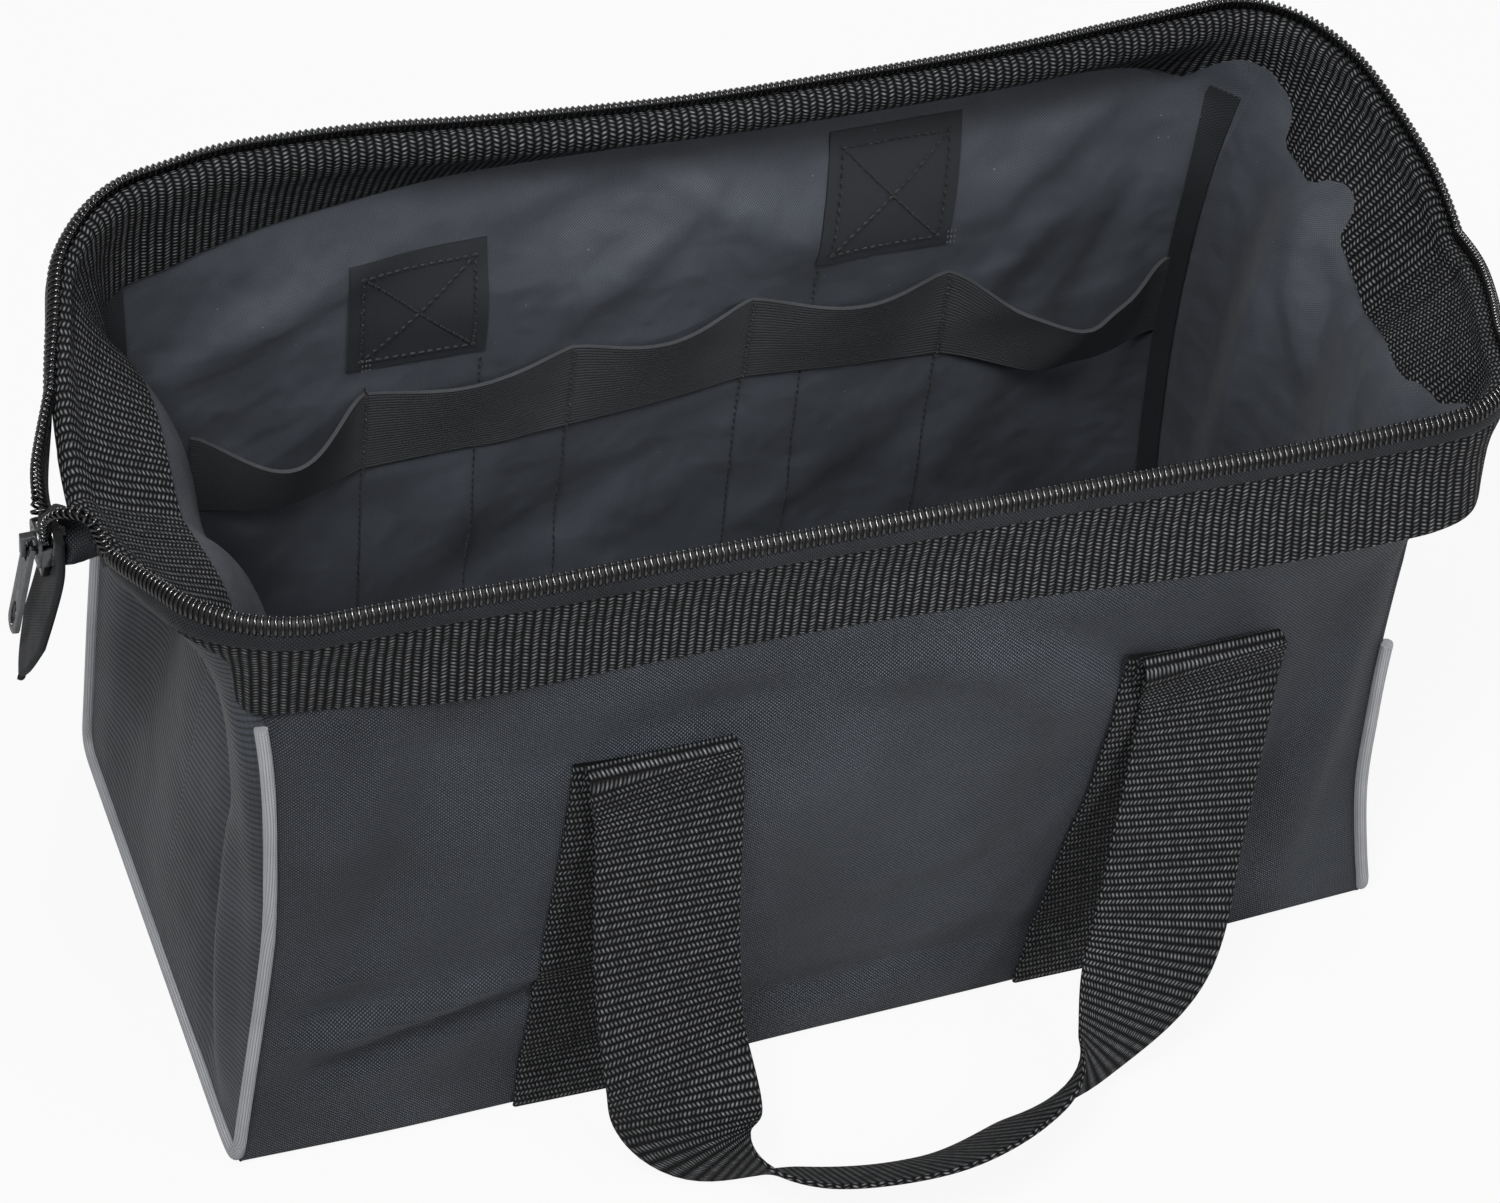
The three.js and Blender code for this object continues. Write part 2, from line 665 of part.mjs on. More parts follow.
function bridge() {
  // An arch on the outer plate that carries the pull.
  const plateFace = -SLIDER_THICKNESS / 2;
  const sunk = SLIDER_PLATE / 2;
  const width = [-BRIDGE_WIDTH / 2, BRIDGE_WIDTH / 2];
  const height = [-BRIDGE_HALF_HEIGHT, BRIDGE_HALF_HEIGHT];
  const arch = box([plateFace - BRIDGE_DEPTH, plateFace + sunk], width, height);
  const cutWidth = [-BRIDGE_WIDTH, BRIDGE_WIDTH];
  const cutHeight = [-BRIDGE_HOLE_HEIGHT / 2, BRIDGE_HOLE_HEIGHT / 2];
  const hole = box([plateFace - BRIDGE_HOLE_DEPTH, plateFace], cutWidth, cutHeight);
  return solid(arch).subtract(solid(hole));
}

function sliderBody() {
  // Two plates joined by the nose post and the two side flanges, with the bridge outside.
  const half = SLIDER_THICKNESS / 2;
  const outer = solid(facingX(sliderOutline(), -half, -half + SLIDER_PLATE));
  const inner = solid(facingX(sliderOutline(), half - SLIDER_PLATE, half));
  const span = [-half + SLIDER_PLATE / 2, half - SLIDER_PLATE / 2];
  const top = SLIDER_LENGTH / 2;
  const postHeight = [top - 2.5 * POST_WIDTH, top - POST_WIDTH / 2];
  const post = solid(box(span, [-POST_WIDTH / 2, POST_WIDTH / 2], postHeight));
  const edge = SLIDER_TAIL_WIDTH / 2;
  const left = solid(box(span, [-edge, FLANGE_THICKNESS - edge], [-top, 0]));
  const right = solid(box(span, [edge - FLANGE_THICKNESS, edge], [-top, 0]));
  return geometryOf(outer.add(inner).add(post).add(bridge()).add(left).add(right));
}

function chainEnd() {
  // The closed bit of coil inside the slider, down to the tab.
  const width = COIL_WIDTH / 2;
  const thick = (SLIDER_THICKNESS - 2 * SLIDER_PLATE) / 2 - FIT;
  const top = SLIDER_LENGTH / 2 - 2.5 * POST_WIDTH - FIT;
  return box([-thick, thick], [-width, width], [-SLIDER_LENGTH / 2 - CHAIN_BELOW_SLIDER, top]);
}

function pull() {
  // A flat tag whose top bar turns in the bridge; the bar is at the pull's own origin.
  const half = PULL_WIDTH / 2;
  const top = PULL_BAR / 2;
  const low = PULL_LENGTH - half;
  const windowHalf = PULL_WINDOW_WIDTH / 2;
  const shape = new THREE.Shape();
  shape.moveTo(-half, top);
  shape.lineTo(-half, -low);
  shape.absarc(0, -low, half, Math.PI, 2 * Math.PI);
  shape.lineTo(half, top);
  const window = new THREE.Path();
  window.moveTo(-windowHalf, -top);
  window.lineTo(windowHalf, -top);
  window.lineTo(windowHalf, -top - PULL_WINDOW_HEIGHT);
  window.lineTo(-windowHalf, -top - PULL_WINDOW_HEIGHT);
  const eye = new THREE.Path();
  const eyeMiddle = -low + PULL_EYE_HEIGHT / 2 - half / 2;
  eye.absellipse(0, eyeMiddle, PULL_EYE_WIDTH / 2, PULL_EYE_HEIGHT / 2, 0, 2 * Math.PI);
  shape.holes.push(window, eye);
  return facingX(shape, -PULL_THICKNESS / 2, PULL_THICKNESS / 2);
}

function endTab() {
  // Folded webbing behind the slider, bent outwards below it and cut to a point.
  const behind = SLIDER_THICKNESS / 2 + FIT + TAB_THICKNESS / 2;
  const top = SLIDER_LENGTH / 2 + TAB_RISE;
  const bend = -SLIDER_LENGTH / 2;
  const surface = (u, v) => {
    const down = u * (TAB_LENGTH + top);
    const z = top - down;
    const below = Math.max(bend - z, 0);
    const point = THREE.MathUtils.clamp((TAB_LENGTH + z) / TAB_POINT, 0.06, 1);
    const x = behind - below * Math.tan(TAB_SLANT);
    return new THREE.Vector3(x, (v - 0.5) * TAB_WIDTH * point, z);
  };
  return sheet(surface, 16, 1, TAB_THICKNESS);
}

// Assembly

const bag = new THREE.Group();

function addBase() {
  bag.add(mesh('base_panel', basePanel(), OUTER_CLOTH));
  bag.add(mesh('base_board', baseBoard(), LINING));
  for (const [end, word] of [[-1, 'left'], [1, 'right']]) {
    bag.add(mesh(`${word}_end_wall`, endWall(end), OUTER_CLOTH));
    bag.add(mesh(`${word}_base_piping`, basePiping(end), PIPING));
  }
}

function addWall(side, word, straps) {
  bag.add(mesh(`${word}_wall`, wall(side), OUTER_CLOTH));
  bag.add(mesh(`${word}_long_band`, sweepUpright(bandSection(), longPath(side)), WEBBING));
  bag.add(mesh(`${word}_long_zip_tape`, sweepUpright(tapeSection(), longPath(side)), OUTER_CLOTH));
  bag.add(mesh(`${word}_long_zip_coil`, sweepUpright(coilSection(), longPath(side)), NYLON));
  for (const [end, where] of [[-1, 'left'], [1, 'right']]) {
    const strapX = end < 0 ? Math.min(...straps) : Math.max(...straps);
    bag.add(mesh(`${word}_${where}_sewn_strap`, sewnStrap(side, strapX), WEBBING));
    bag.add(mesh(`${word}_${where}_piping`, wallPiping(side, end), PIPING));
    bag.add(mesh(`${word}_${where}_seam_binding`, cornerBinding(side, end), LINING));
  }
  bag.add(mesh(`${word}_handle`, handle(side, straps), WEBBING));
}

function addPockets() {
  const leftPatch = patch(Math.min(...BACK_STRAPS_X), WIRE_HEIGHT - LEFT_PATCH_DROP);
  const rightPatch = patch(Math.max(...BACK_STRAPS_X), WIRE_HEIGHT - RIGHT_PATCH_DROP);
  bag.add(mesh('left_handle_patch', leftPatch, LINING));
  bag.add(mesh('right_handle_patch', rightPatch, LINING));
  bag.add(mesh('elastic_tool_band', elasticBand(), ELASTIC));
}

function addFrame(side, word) {
  bag.add(mesh(`${word}_wire`, wire(side), STEEL));
  for (const [end, where] of [[-1, 'left'], [1, 'right']]) {
    const band = armPath(side, end, ARM_STOP);
    const zip = armPath(side, end, ZIP_STOP);
    bag.add(mesh(`${word}_${where}_arm_band`, sweepUpright(bandSection(), band), WEBBING));
    bag.add(mesh(`${word}_${where}_arm_zip_tape`, sweepUpright(tapeSection(), zip), OUTER_CLOTH));
    bag.add(mesh(`${word}_${where}_arm_zip_coil`, sweepUpright(coilSection(), zip), NYLON));
  }
  bag.add(mesh(`${word}_zip_tail`, zipTail(side), OUTER_CLOTH));
}

function addHinges() {
  for (const [end, where] of [[-1, 'left'], [1, 'right']]) {
    const path = hingePath(end, ARM_STOP - FIT);
    bag.add(mesh(`${where}_hinge_cover`, sweepUpright(bandSection(), path), WEBBING));
  }
  const join = sweepUpright(tapeAndCoilSection(), hingePath(1, ZIP_STOP - FIT));
  bag.add(mesh('right_zip_join', join, OUTER_CLOTH));
}

function addSlider() {
  const slider = new THREE.Group();
  slider.position.copy(SLIDER_CENTRE);
  slider.add(mesh('slider', sliderBody(), GUNMETAL));
  slider.add(mesh('zip_chain_end', chainEnd(), NYLON));
  slider.add(mesh('zip_end_tab', endTab(), WEBBING));
  const tag = mesh('slider_pull', pull(), GUNMETAL);
  tag.position.x = -SLIDER_THICKNESS / 2 - BRIDGE_HOLE_DEPTH / 2;
  tag.rotation.y = PULL_REST;
  slider.add(tag);
  bag.add(slider);
}

addBase();
addWall(FRONT, 'front', FRONT_STRAPS_X);
addWall(BACK, 'back', BACK_STRAPS_X);
addPockets();
addFrame(FRONT, 'front');
addFrame(BACK, 'back');
addHinges();
addSlider();

export default bag;
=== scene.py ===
"""A zippered tool bag of black woven cloth that stands open.

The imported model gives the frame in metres. The shapes below are worked out in
millimetres with +Z up and -Y to the front, and are turned into metres as each mesh is made.
"""
import math

import bpy
import numpy as np
from mathutils import Matrix, Vector


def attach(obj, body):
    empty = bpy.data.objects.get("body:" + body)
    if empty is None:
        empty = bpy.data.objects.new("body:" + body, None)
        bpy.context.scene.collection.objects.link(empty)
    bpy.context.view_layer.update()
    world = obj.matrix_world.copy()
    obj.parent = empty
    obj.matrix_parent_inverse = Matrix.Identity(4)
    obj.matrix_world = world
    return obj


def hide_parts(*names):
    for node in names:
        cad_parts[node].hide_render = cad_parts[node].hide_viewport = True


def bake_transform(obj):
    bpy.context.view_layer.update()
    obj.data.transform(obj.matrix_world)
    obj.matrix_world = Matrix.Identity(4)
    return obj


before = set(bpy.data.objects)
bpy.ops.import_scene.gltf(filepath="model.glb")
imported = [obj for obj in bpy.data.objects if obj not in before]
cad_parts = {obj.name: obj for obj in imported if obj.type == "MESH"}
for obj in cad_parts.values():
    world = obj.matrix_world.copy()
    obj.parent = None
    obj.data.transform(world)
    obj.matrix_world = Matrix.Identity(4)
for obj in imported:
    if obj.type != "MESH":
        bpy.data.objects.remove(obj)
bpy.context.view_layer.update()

MM = 0.001
FRONT, BACK = -1, 1
LEFT, RIGHT = -1, 1
SIDE_NAME = {FRONT: "front", BACK: "back"}
END_NAME = {LEFT: "left", RIGHT: "right"}
CORNERS = [(side, end) for side in (FRONT, BACK) for end in (LEFT, RIGHT)]

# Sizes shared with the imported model
HALF_LENGTH = 200.0
RIM_HEIGHT, MOUTH_HALF = 241.5, 95.0
CORNER_X, CORNER_RADIUS = 206.5, 27.0
HINGE_DROP = 28.0
ARM_BOW = {LEFT: 17.5, RIGHT: 5.0}
FOLD_HEIGHT, FOLD_RADIUS = 168.0, 2.8
WEBBING_WIDTH, WEBBING_THICKNESS = 48.0, 1.8
PIPING_DIAMETER = 4.3
CLOTH = 1.6
STRAPS_X = {FRONT: (-78.0, 102.0), BACK: (76.0, -91.0)}
TOOTH_PITCH = 1.95
INNER_DROP, OUTER_DROP = 30.0, 32.0
UP = np.array([0, 0, 1.0])


# ---------------------------------------------------------------- curves and meshes

def lengths(line):
    """Distance along a line of points, from its first point."""
    steps = np.linalg.norm(np.diff(line, axis=0), axis=1)
    return np.concatenate([[0.0], np.cumsum(steps)])


def points_at(wanted, at, line):
    """The points of a line at other places on the scale that gives its own points' places."""
    return np.stack([np.interp(wanted, at, line[:, k]) for k in range(line.shape[1])], 1)


def evenly(line, count):
    """The same line as evenly spaced points."""
    line = np.asarray(line, float)
    at = lengths(line)
    return points_at(np.linspace(0, at[-1], count), at, line)


def smooth_through(points, steps=16):
    """A smooth curve through the points, with equal steps between each two of them."""
    p = np.asarray(points, float)
    p = np.vstack([2 * p[0] - p[1], p, 2 * p[-1] - p[-2]])
    t = np.linspace(0, 1, steps, endpoint=False)[:, None]
    parts = []
    for a, b, c, d in zip(p, p[1:], p[2:], p[3:]):
        bend = (2 * a - 5 * b + 4 * c - d) * t ** 2
        parts.append(0.5 * (2 * b + (c - a) * t + bend + (3 * b - a - 3 * c + d) * t ** 3))
    return np.vstack(parts + [p[-2:-1]])


def smooth_table(rows):
    """A table of places and values, made dense along a smooth curve through its rows."""
    return smooth_through(np.array(rows, float), 8)


def look_up(table, at, column=1):
    return np.interp(at, table[:, 0], table[:, column])


def unit(vectors):
    size = np.linalg.norm(vectors, axis=-1, keepdims=True)
    return vectors / np.maximum(size, 1e-9)


def smoothstep(low, high, value):
    t = np.clip((value - low) / (high - low), 0, 1)
    return t * t * (3 - 2 * t)


def surface_normals(grid):
    """Unit normals of a (columns, rows, 3) grid, along its columns' step times its rows' step."""
    return unit(np.cross(np.gradient(grid, axis=0), np.gradient(grid, axis=1)))


def add_object(name, data):
    made = bpy.data.objects.new(name, data)
    bpy.context.scene.collection.objects.link(made)
    return made


def settle(made):
    """Puts what an object's modifiers make of its mesh in the mesh's place."""
    seen = made.evaluated_get(bpy.context.evaluated_depsgraph_get())
    made.data = bpy.data.meshes.new_from_object(seen)
    made.modifiers.clear()


def new_mesh(name, points, faces, finishes, face_finish, uv, sharp):
    """A mesh object from points in millimetres, with one map position per face corner."""
    mesh = bpy.data.meshes.new(name)
    mesh.from_pydata((np.asarray(points) * MM).tolist(), [], faces)
    for finish in finishes:
        mesh.materials.append(finish)
    mesh.polygons.foreach_set("material_index", np.asarray(face_finish, np.int32))
    layer = mesh.uv_layers.new(name="cloth")
    layer.data.foreach_set("uv", (np.asarray(uv, float) * MM).ravel())
    mesh.shade_smooth()
    mesh.set_sharp_from_angle(angle=math.radians(sharp))
    mesh.update()
    return add_object(name, mesh)


def loft(name, rings, finishes, column_finish=None, along=None, across=None, sharp=50):
    """A closed solid through equal rings of points, with the map's U along it and V round it."""
    rings = np.asarray(rings, float)
    count, size = rings.shape[:2]
    if along is None:
        along = lengths(rings.mean(axis=1))
    if across is None:
        across = lengths(np.vstack([rings[count // 2], rings[count // 2][:1]]))
    faces, uv, finish = [], [], []
    for i in range(count - 1):
        for j in range(size):
            k = (j + 1) % size
            faces.append((i * size + j, i * size + k, (i + 1) * size + k, (i + 1) * size + j))
            u0, u1, v0, v1 = along[i], along[i + 1], across[j], across[j + 1]
            uv += [(u0, v0), (u0, v1), (u1, v1), (u1, v0)]
            finish.append(0 if column_finish is None else column_finish[j])
    last = (count - 1) * size
    for j in range(size // 2 - 1):
        ends = (j, j + 1, size - 2 - j, size - 1 - j)
        faces.append(tuple(reversed(ends)))
        uv += [(along[0], across[e]) for e in reversed(ends)]
        faces.append(tuple(last + e for e in ends))
        uv += [(along[-1], across[e]) for e in ends]
        finish += [0, 0]
    points = rings.reshape(-1, 3)
    corner = points[np.array([f[:3] for f in faces])]
    if np.einsum("ij,ij->i", corner[:, 0], np.cross(corner[:, 1], corner[:, 2])).sum() < 0:
        faces = [tuple(reversed(f)) for f in faces]
        uv = [c for i in range(0, len(uv), 4) for c in reversed(uv[i:i + 4])]
    return new_mesh(name, points, faces, finishes, finish, uv, sharp)


def cloth_panel(name, outside, thickness, finishes):
    """A sheet of even thickness behind a (columns, rows, 3) grid of its outer face."""
    inside = outside - surface_normals(outside) * thickness
    rings = np.concatenate([outside, inside[:, ::-1]], axis=1)
    rows = outside.shape[1]
    sides = None if len(finishes) == 1 else [0] * rows + [1] * (rows - 1) + [0]
    up = lengths(outside[outside.shape[0] // 2])
    across = np.concatenate([up, up[::-1], up[:1]])
    along = lengths(outside[:, rows // 2])
    return loft(name, rings, finishes, sides, along, across)


def strip_rings(middle, across, width, thickness, columns=12):
    """Rings of a flat strip with rounded edges, for middle points and width directions."""
    middle = np.asarray(middle, float)
    tangent = unit(np.gradient(middle, axis=0))
    across = unit(across - tangent * np.sum(across * tangent, axis=1, keepdims=True))
    normal = np.cross(tangent, across)
    half, r = width / 2, thickness / 2
    flat = np.linspace(-half + r, half - r, columns)
    angle = np.linspace(-math.pi / 2, math.pi / 2, 5)[1:-1]
    section = [(v, -r) for v in flat]
    section += [(half - r + r * math.cos(t), r * math.sin(t)) for t in angle]
    section += [(v, r) for v in flat[::-1]]
    section += [(-half + r - r * math.cos(t), -r * math.sin(t)) for t in angle]
    section = np.array(section[-1:] + section[:-1])
    return (middle[:, None] + across[:, None] * section[None, :, :1]
            + normal[:, None] * section[None, :, 1:])


def webbing_strip(name, middle, across):
    rings = strip_rings(middle, across, WEBBING_WIDTH, WEBBING_THICKNESS)
    return loft(name, rings, [WEBBING], along=lengths(middle), sharp=60)


def rod(name, middle, radius, finish, sides=10, flat=1.0, up=None):
    """A round or flattened rod along a line of points."""
    middle = np.asarray(middle, float)
    tangent = unit(np.gradient(middle, axis=0))
    first = unit(np.cross(tangent, UP if up is None else up))
    second = np.cross(first, tangent)
    angle = 2 * math.pi * np.arange(sides) / sides
    a, b = np.cos(angle) * radius * flat, np.sin(angle) * radius
    rings = middle[:, None] + first[:, None] * a[None, :, None] + second[:, None] * b[None, :, None]
    return loft(name, rings, [finish], along=lengths(middle), sharp=80)


# ---------------------------------------------------------------- bodies and nodes

def half_name(side, end):
    return f"{SIDE_NAME[side]}_{END_NAME[end]}"


def on_body(made, body, slot, *nodes):
    """A piece that moves with one body, in place of the named nodes."""
    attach(made, body)
    if nodes:
        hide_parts(*nodes)


def between(made, bodies, start, finish, slot, *nodes):
    """A piece fixed where it is made, in place of the named nodes."""
    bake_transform(made)
    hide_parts(*nodes)


def on_rim(made, side, end, slot, *nodes):
    """A piece of the rim, fixed where it is made, in place of the named nodes."""
    word = SIDE_NAME[side]
    between(made, (f"{word}_side", f"{word}_frame"), (end * 0.165, side * 0.095, 0.24),
            (end * 0.2, side * 0.095, 0.24), slot, *nodes)


# ---------------------------------------------------------------- shader building

def feed(tree, node, inputs):
    """Sets a node's inputs, by name or number, each to a value or to the output that feeds it."""
    for key, value in dict(inputs).items():
        if isinstance(value, bpy.types.NodeSocket):
            tree.links.new(value, node.inputs[key])
        else:
            node.inputs[key].default_value = value


def place(tree, kind, inputs=(), **settings):
    """Adds a node with its settings and inputs."""
    made = tree.nodes.new(kind)
    for key, value in settings.items():
        setattr(made, key, value)
    feed(tree, made, inputs)
    return made


def calc(tree, operation, *values):
    return place(tree, "ShaderNodeMath", enumerate(values), operation=operation).outputs[0]


def times(tree, first, second):
    return calc(tree, "MULTIPLY", first, second)


def blend_colour(tree, factor, first, second):
    node = place(tree, "ShaderNodeMix", {0: factor, 6: first, 7: second}, data_type="RGBA")
    return node.outputs[2]


def ramp(tree, value, low, high, low_out=0.0, high_out=1.0):
    node = place(tree, "ShaderNodeMapRange", {0: value, 1: low, 2: high, 3: low_out, 4: high_out})
    return node.outputs[0]


NUMBER, VECTOR = "NodeSocketFloat", "NodeSocketVector"


def effect(name, inputs, outputs):
    """A shader node group: its tree and both end nodes. An input without a value is a vector."""
    tree = bpy.data.node_groups.new(name, "ShaderNodeTree")
    for label, value in inputs.items():
        kind = VECTOR if value is None else NUMBER
        socket = tree.interface.new_socket(label, in_out="INPUT", socket_type=kind)
        if value is not None:
            socket.default_value = value
    for label in outputs:
        tree.interface.new_socket(label, in_out="OUTPUT", socket_type=NUMBER)
    return tree, tree.nodes.new("NodeGroupInput"), tree.nodes.new("NodeGroupOutput")


def round_top(tree, offset, half):
    """Height of a round thread, from 1 on its middle to 0 at a half width off it."""
    share = calc(tree, "DIVIDE", offset, half)
    inside = calc(tree, "SUBTRACT", 1.0, times(tree, share, share))
    return calc(tree, "SQRT", calc(tree, "MAXIMUM", inside, 0.0))


def cell(tree, value):
    """Splits a running number into its whole part and its offset from the cell's middle."""
    row = calc(tree, "FLOOR", value)
    return row, calc(tree, "SUBTRACT", calc(tree, "SUBTRACT", value, row), 0.5)


def map_cell(tree, start, axis, pitch):
    """The cell of a group's map along one axis, at the pitch that its named input gives."""
    split = place(tree, "ShaderNodeSeparateXYZ", {0: start.outputs["Map"]})
    return cell(tree, calc(tree, "DIVIDE", split.outputs[axis], start.outputs[pitch]))


def random_cell(tree, column, row):
    """A random number from 0 to 1 for each cell of two axes."""
    spot = place(tree, "ShaderNodeCombineXYZ", {0: column, 1: row})
    return place(tree, "ShaderNodeTexWhiteNoise", {"Vector": spot.outputs[0]}).outputs["Value"]


def make_webbing_weave():
    """Heavy webbing: cross ribs, each a row of short slanted threads."""
    tree, start, end = effect("webbing weave", {
        "Map": None, "Rib pitch": 0.0027, "Thread pitch": 0.0014, "Slant": 0.6},
        ["Height", "Crest"])
    row, over_rib = map_cell(tree, start, 0, "Rib pitch")
    odd = calc(tree, "FLOORED_MODULO", row, 2.0)
    sign = calc(tree, "SUBTRACT", times(tree, odd, 2.0), 1.0)
    lean = times(tree, times(tree, over_rib, sign), start.outputs["Slant"])
    split = place(tree, "ShaderNodeSeparateXYZ", {0: start.outputs["Map"]})
    across = calc(tree, "DIVIDE", split.outputs[1], start.outputs["Thread pitch"])
    across = calc(tree, "ADD", across, times(tree, row, 0.5))
    thread, over_thread = cell(tree, calc(tree, "ADD", across, lean))
    strand = round_top(tree, over_thread, 0.42)
    height = times(tree, round_top(tree, over_rib, 0.47),
                   calc(tree, "ADD", times(tree, strand, 0.8), 0.2))
    uneven = ramp(tree, random_cell(tree, row, thread), 0, 1, 0.45, 1.0)
    # Crest is the mask of the webbing's painted highlight on each thread's top.
    feed(tree, end, {"Height": height, "Crest": times(tree, calc(tree, "POWER", height, 5.0), uneven)})
    return tree


def make_plain_weave():
    """Plain woven cloth: two sets of yarns that pass over each other in turn."""
    tree, start, end = effect("plain weave", {"Map": None, "Yarn": 0.0006},
                              ["Height", "Upper", "Fibre"])
    column, u = map_cell(tree, start, 0, "Yarn")
    row, v = map_cell(tree, start, 1, "Yarn")
    upper = calc(tree, "FLOORED_MODULO", calc(tree, "ADD", column, row), 2.0)
    warp = times(tree, round_top(tree, u, 0.52), round_top(tree, v, 0.75))
    weft = times(tree, round_top(tree, v, 0.52), round_top(tree, u, 0.75))
    other = times(tree, times(tree, weft, calc(tree, "SUBTRACT", 1.0, upper)), 0.8)
    feed(tree, end, {"Height": calc(tree, "ADD", times(tree, warp, upper), other), "Upper": upper,
                     "Fibre": random_cell(tree, column, row)})
    return tree


def make_cross_ribs():
    """Even ribs across a strip, with fine threads over them."""
    tree, start, end = effect("cross ribs", {"Map": None, "Pitch": 0.0012, "Thread": 0.0005},
                              ["Height"])
    rib = round_top(tree, map_cell(tree, start, 1, "Pitch")[1], 0.5)
    thread = round_top(tree, map_cell(tree, start, 0, "Thread")[1], 0.6)
    feed(tree, end, {"Height": times(tree, rib, calc(tree, "ADD", times(tree, thread, 0.4), 0.6))})
    return tree


def make_handling():
    """Broad uneven tone of used cloth, and small pale specks of lint."""
    tree, start, end = effect("handling", {"Place": None, "Size": 0.05, "Lint": 0.5},
                              ["Tone", "Specks", "Ripple"])
    scale = calc(tree, "DIVIDE", 1.0, start.outputs["Size"])
    broad = place(tree, "ShaderNodeTexNoise", {
        "Vector": start.outputs["Place"], "Scale": scale, "Detail": 3.0, "Roughness": 0.55})
    ripple = place(tree, "ShaderNodeTexNoise", {
        "Vector": start.outputs["Place"], "Scale": times(tree, scale, 3.0), "Detail": 2.0})
    lint = place(tree, "ShaderNodeTexVoronoi", {"Vector": start.outputs["Place"], "Scale": 260.0})
    speck = ramp(tree, lint.outputs["Distance"], 0.09, 0.03)
    pick = place(tree, "ShaderNodeTexWhiteNoise", {"Vector": lint.outputs["Position"]})
    chosen = calc(tree, "GREATER_THAN", pick.outputs["Value"], 0.9)
    specks = times(tree, times(tree, speck, chosen), start.outputs["Lint"])
    feed(tree, end, {"Tone": broad.outputs[0], "Specks": specks, "Ripple": ripple.outputs[0]})
    return tree


WEBBING_WEAVE = make_webbing_weave()
PLAIN_WEAVE = make_plain_weave()
CROSS_RIBS = make_cross_ribs()
HANDLING = make_handling()


def grouped(tree, group, inputs):
    return place(tree, "ShaderNodeGroup", inputs, node_tree=group)


def start_material(name, roughness, sheen=0.0, sheen_roughness=0.4, metallic=0.0, specular=0.5):
    """A new material and its Principled shader, with the even values on the shader itself."""
    material = bpy.data.materials.new(name)
    material.use_nodes = True
    tree = material.node_tree
    shader = tree.nodes["Principled BSDF"]
    feed(tree, shader, {"Roughness": roughness, "Metallic": metallic, "Sheen Weight": sheen,
                        "Sheen Roughness": sheen_roughness, "Specular IOR Level": specular})
    return material, tree, shader


def bump(tree, height, distance, strength, **below):
    inputs = {"Height": height, "Distance": distance, "Strength": strength, **below}
    return place(tree, "ShaderNodeBump", inputs).outputs[0]


def cloth_map(tree):
    return place(tree, "ShaderNodeUVMap", uv_map="cloth").outputs[0]


def ribs_of(tree, pitch, thread):
    inputs = {"Map": cloth_map(tree), "Pitch": pitch, "Thread": thread}
    return grouped(tree, CROSS_RIBS, inputs).outputs["Height"]


def handled(tree, size, lint=0.0):
    """The wear of a material, by place on the piece."""
    where = place(tree, "ShaderNodeTexCoord").outputs["Object"]
    return grouped(tree, HANDLING, {"Place": where, "Size": size, "Lint": lint})


def shade(value, blue=0.0):
    """A grey colour, from its screen value out of 255, with some blue in it."""
    level = (value / 255) ** 2.2
    return (level * (1 - 0.35 * blue), level * (1 - 0.12 * blue), level * (1 + 0.35 * blue), 1.0)


def webbing_material():
    material, tree, shader = start_material("black webbing", 0.55, sheen_roughness=0.35, specular=0.22)
    weave = grouped(tree, WEBBING_WEAVE, {"Map": cloth_map(tree)})
    used = handled(tree, 0.03, 0.4)
    base = blend_colour(tree, used.outputs["Tone"], shade(4, 0.3), shade(12, 0.3))
    # Painted highlight: each thread's crest is painted much lighter than the dark webbing, besides the
    # real gloss from the bump and roughness.
    crest = blend_colour(tree, weave.outputs["Crest"], base, shade(128, 0.15))
    colour = blend_colour(tree, used.outputs["Specks"], crest, shade(120))
    feed(tree, shader, {"Base Color": colour,
                        "Roughness": ramp(tree, weave.outputs["Crest"], 0, 1, 0.8, 0.36),
                        "Normal": bump(tree, weave.outputs["Height"], 0.0012, 1.0)})
    return material


def woven_material(name, dark, light, yarn, sheen, blue, depth=0.25, size=0.08, lint=0.3,
                   rough=0.6, sharp=1.0, crease=0.003):
    """Plain woven cloth, with its yarns, a soft uneven tone and faint ripples.

    dark is the painted shade between the yarns and light the painted highlight on them, sharp how
    narrow that highlight is, depth the yarns' relief as a share of their pitch, size the width of the
    uneven patches.
    """
    material, tree, shader = start_material(name, rough, sheen, 0.35, specular=0.26)
    weave = grouped(tree, PLAIN_WEAVE, {"Map": cloth_map(tree), "Yarn": yarn})
    used = handled(tree, size, lint)
    # The colour follows the yarns' height: painted highlight on their tops, painted shade in the
    # hollows and on the lower yarns, scaled at random by the broad tone.
    yarns = times(tree, weave.outputs["Height"], ramp(tree, weave.outputs["Upper"], 0, 1, 0.35, 1.0))
    uneven = ramp(tree, weave.outputs["Fibre"], 0, 1, 0.85, 1.0)
    factor = calc(tree, "POWER", times(tree, yarns, uneven), sharp)
    broad = ramp(tree, used.outputs["Tone"], 0.3, 0.7, 0.65, 1.2)
    factor = times(tree, factor, broad)
    colour = blend_colour(tree, factor, shade(dark, blue), shade(light, blue))
    colour = blend_colour(tree, used.outputs["Specks"], colour, shade(150, blue))
    wrinkle = bump(tree, used.outputs["Tone"], crease, 0.6)
    ripple = bump(tree, used.outputs["Ripple"], 0.002, 0.35, Normal=wrinkle)
    normal = bump(tree, weave.outputs["Height"], yarn * depth, 0.8, Normal=ripple)
    feed(tree, shader, {"Base Color": colour, "Normal": normal})
    return material


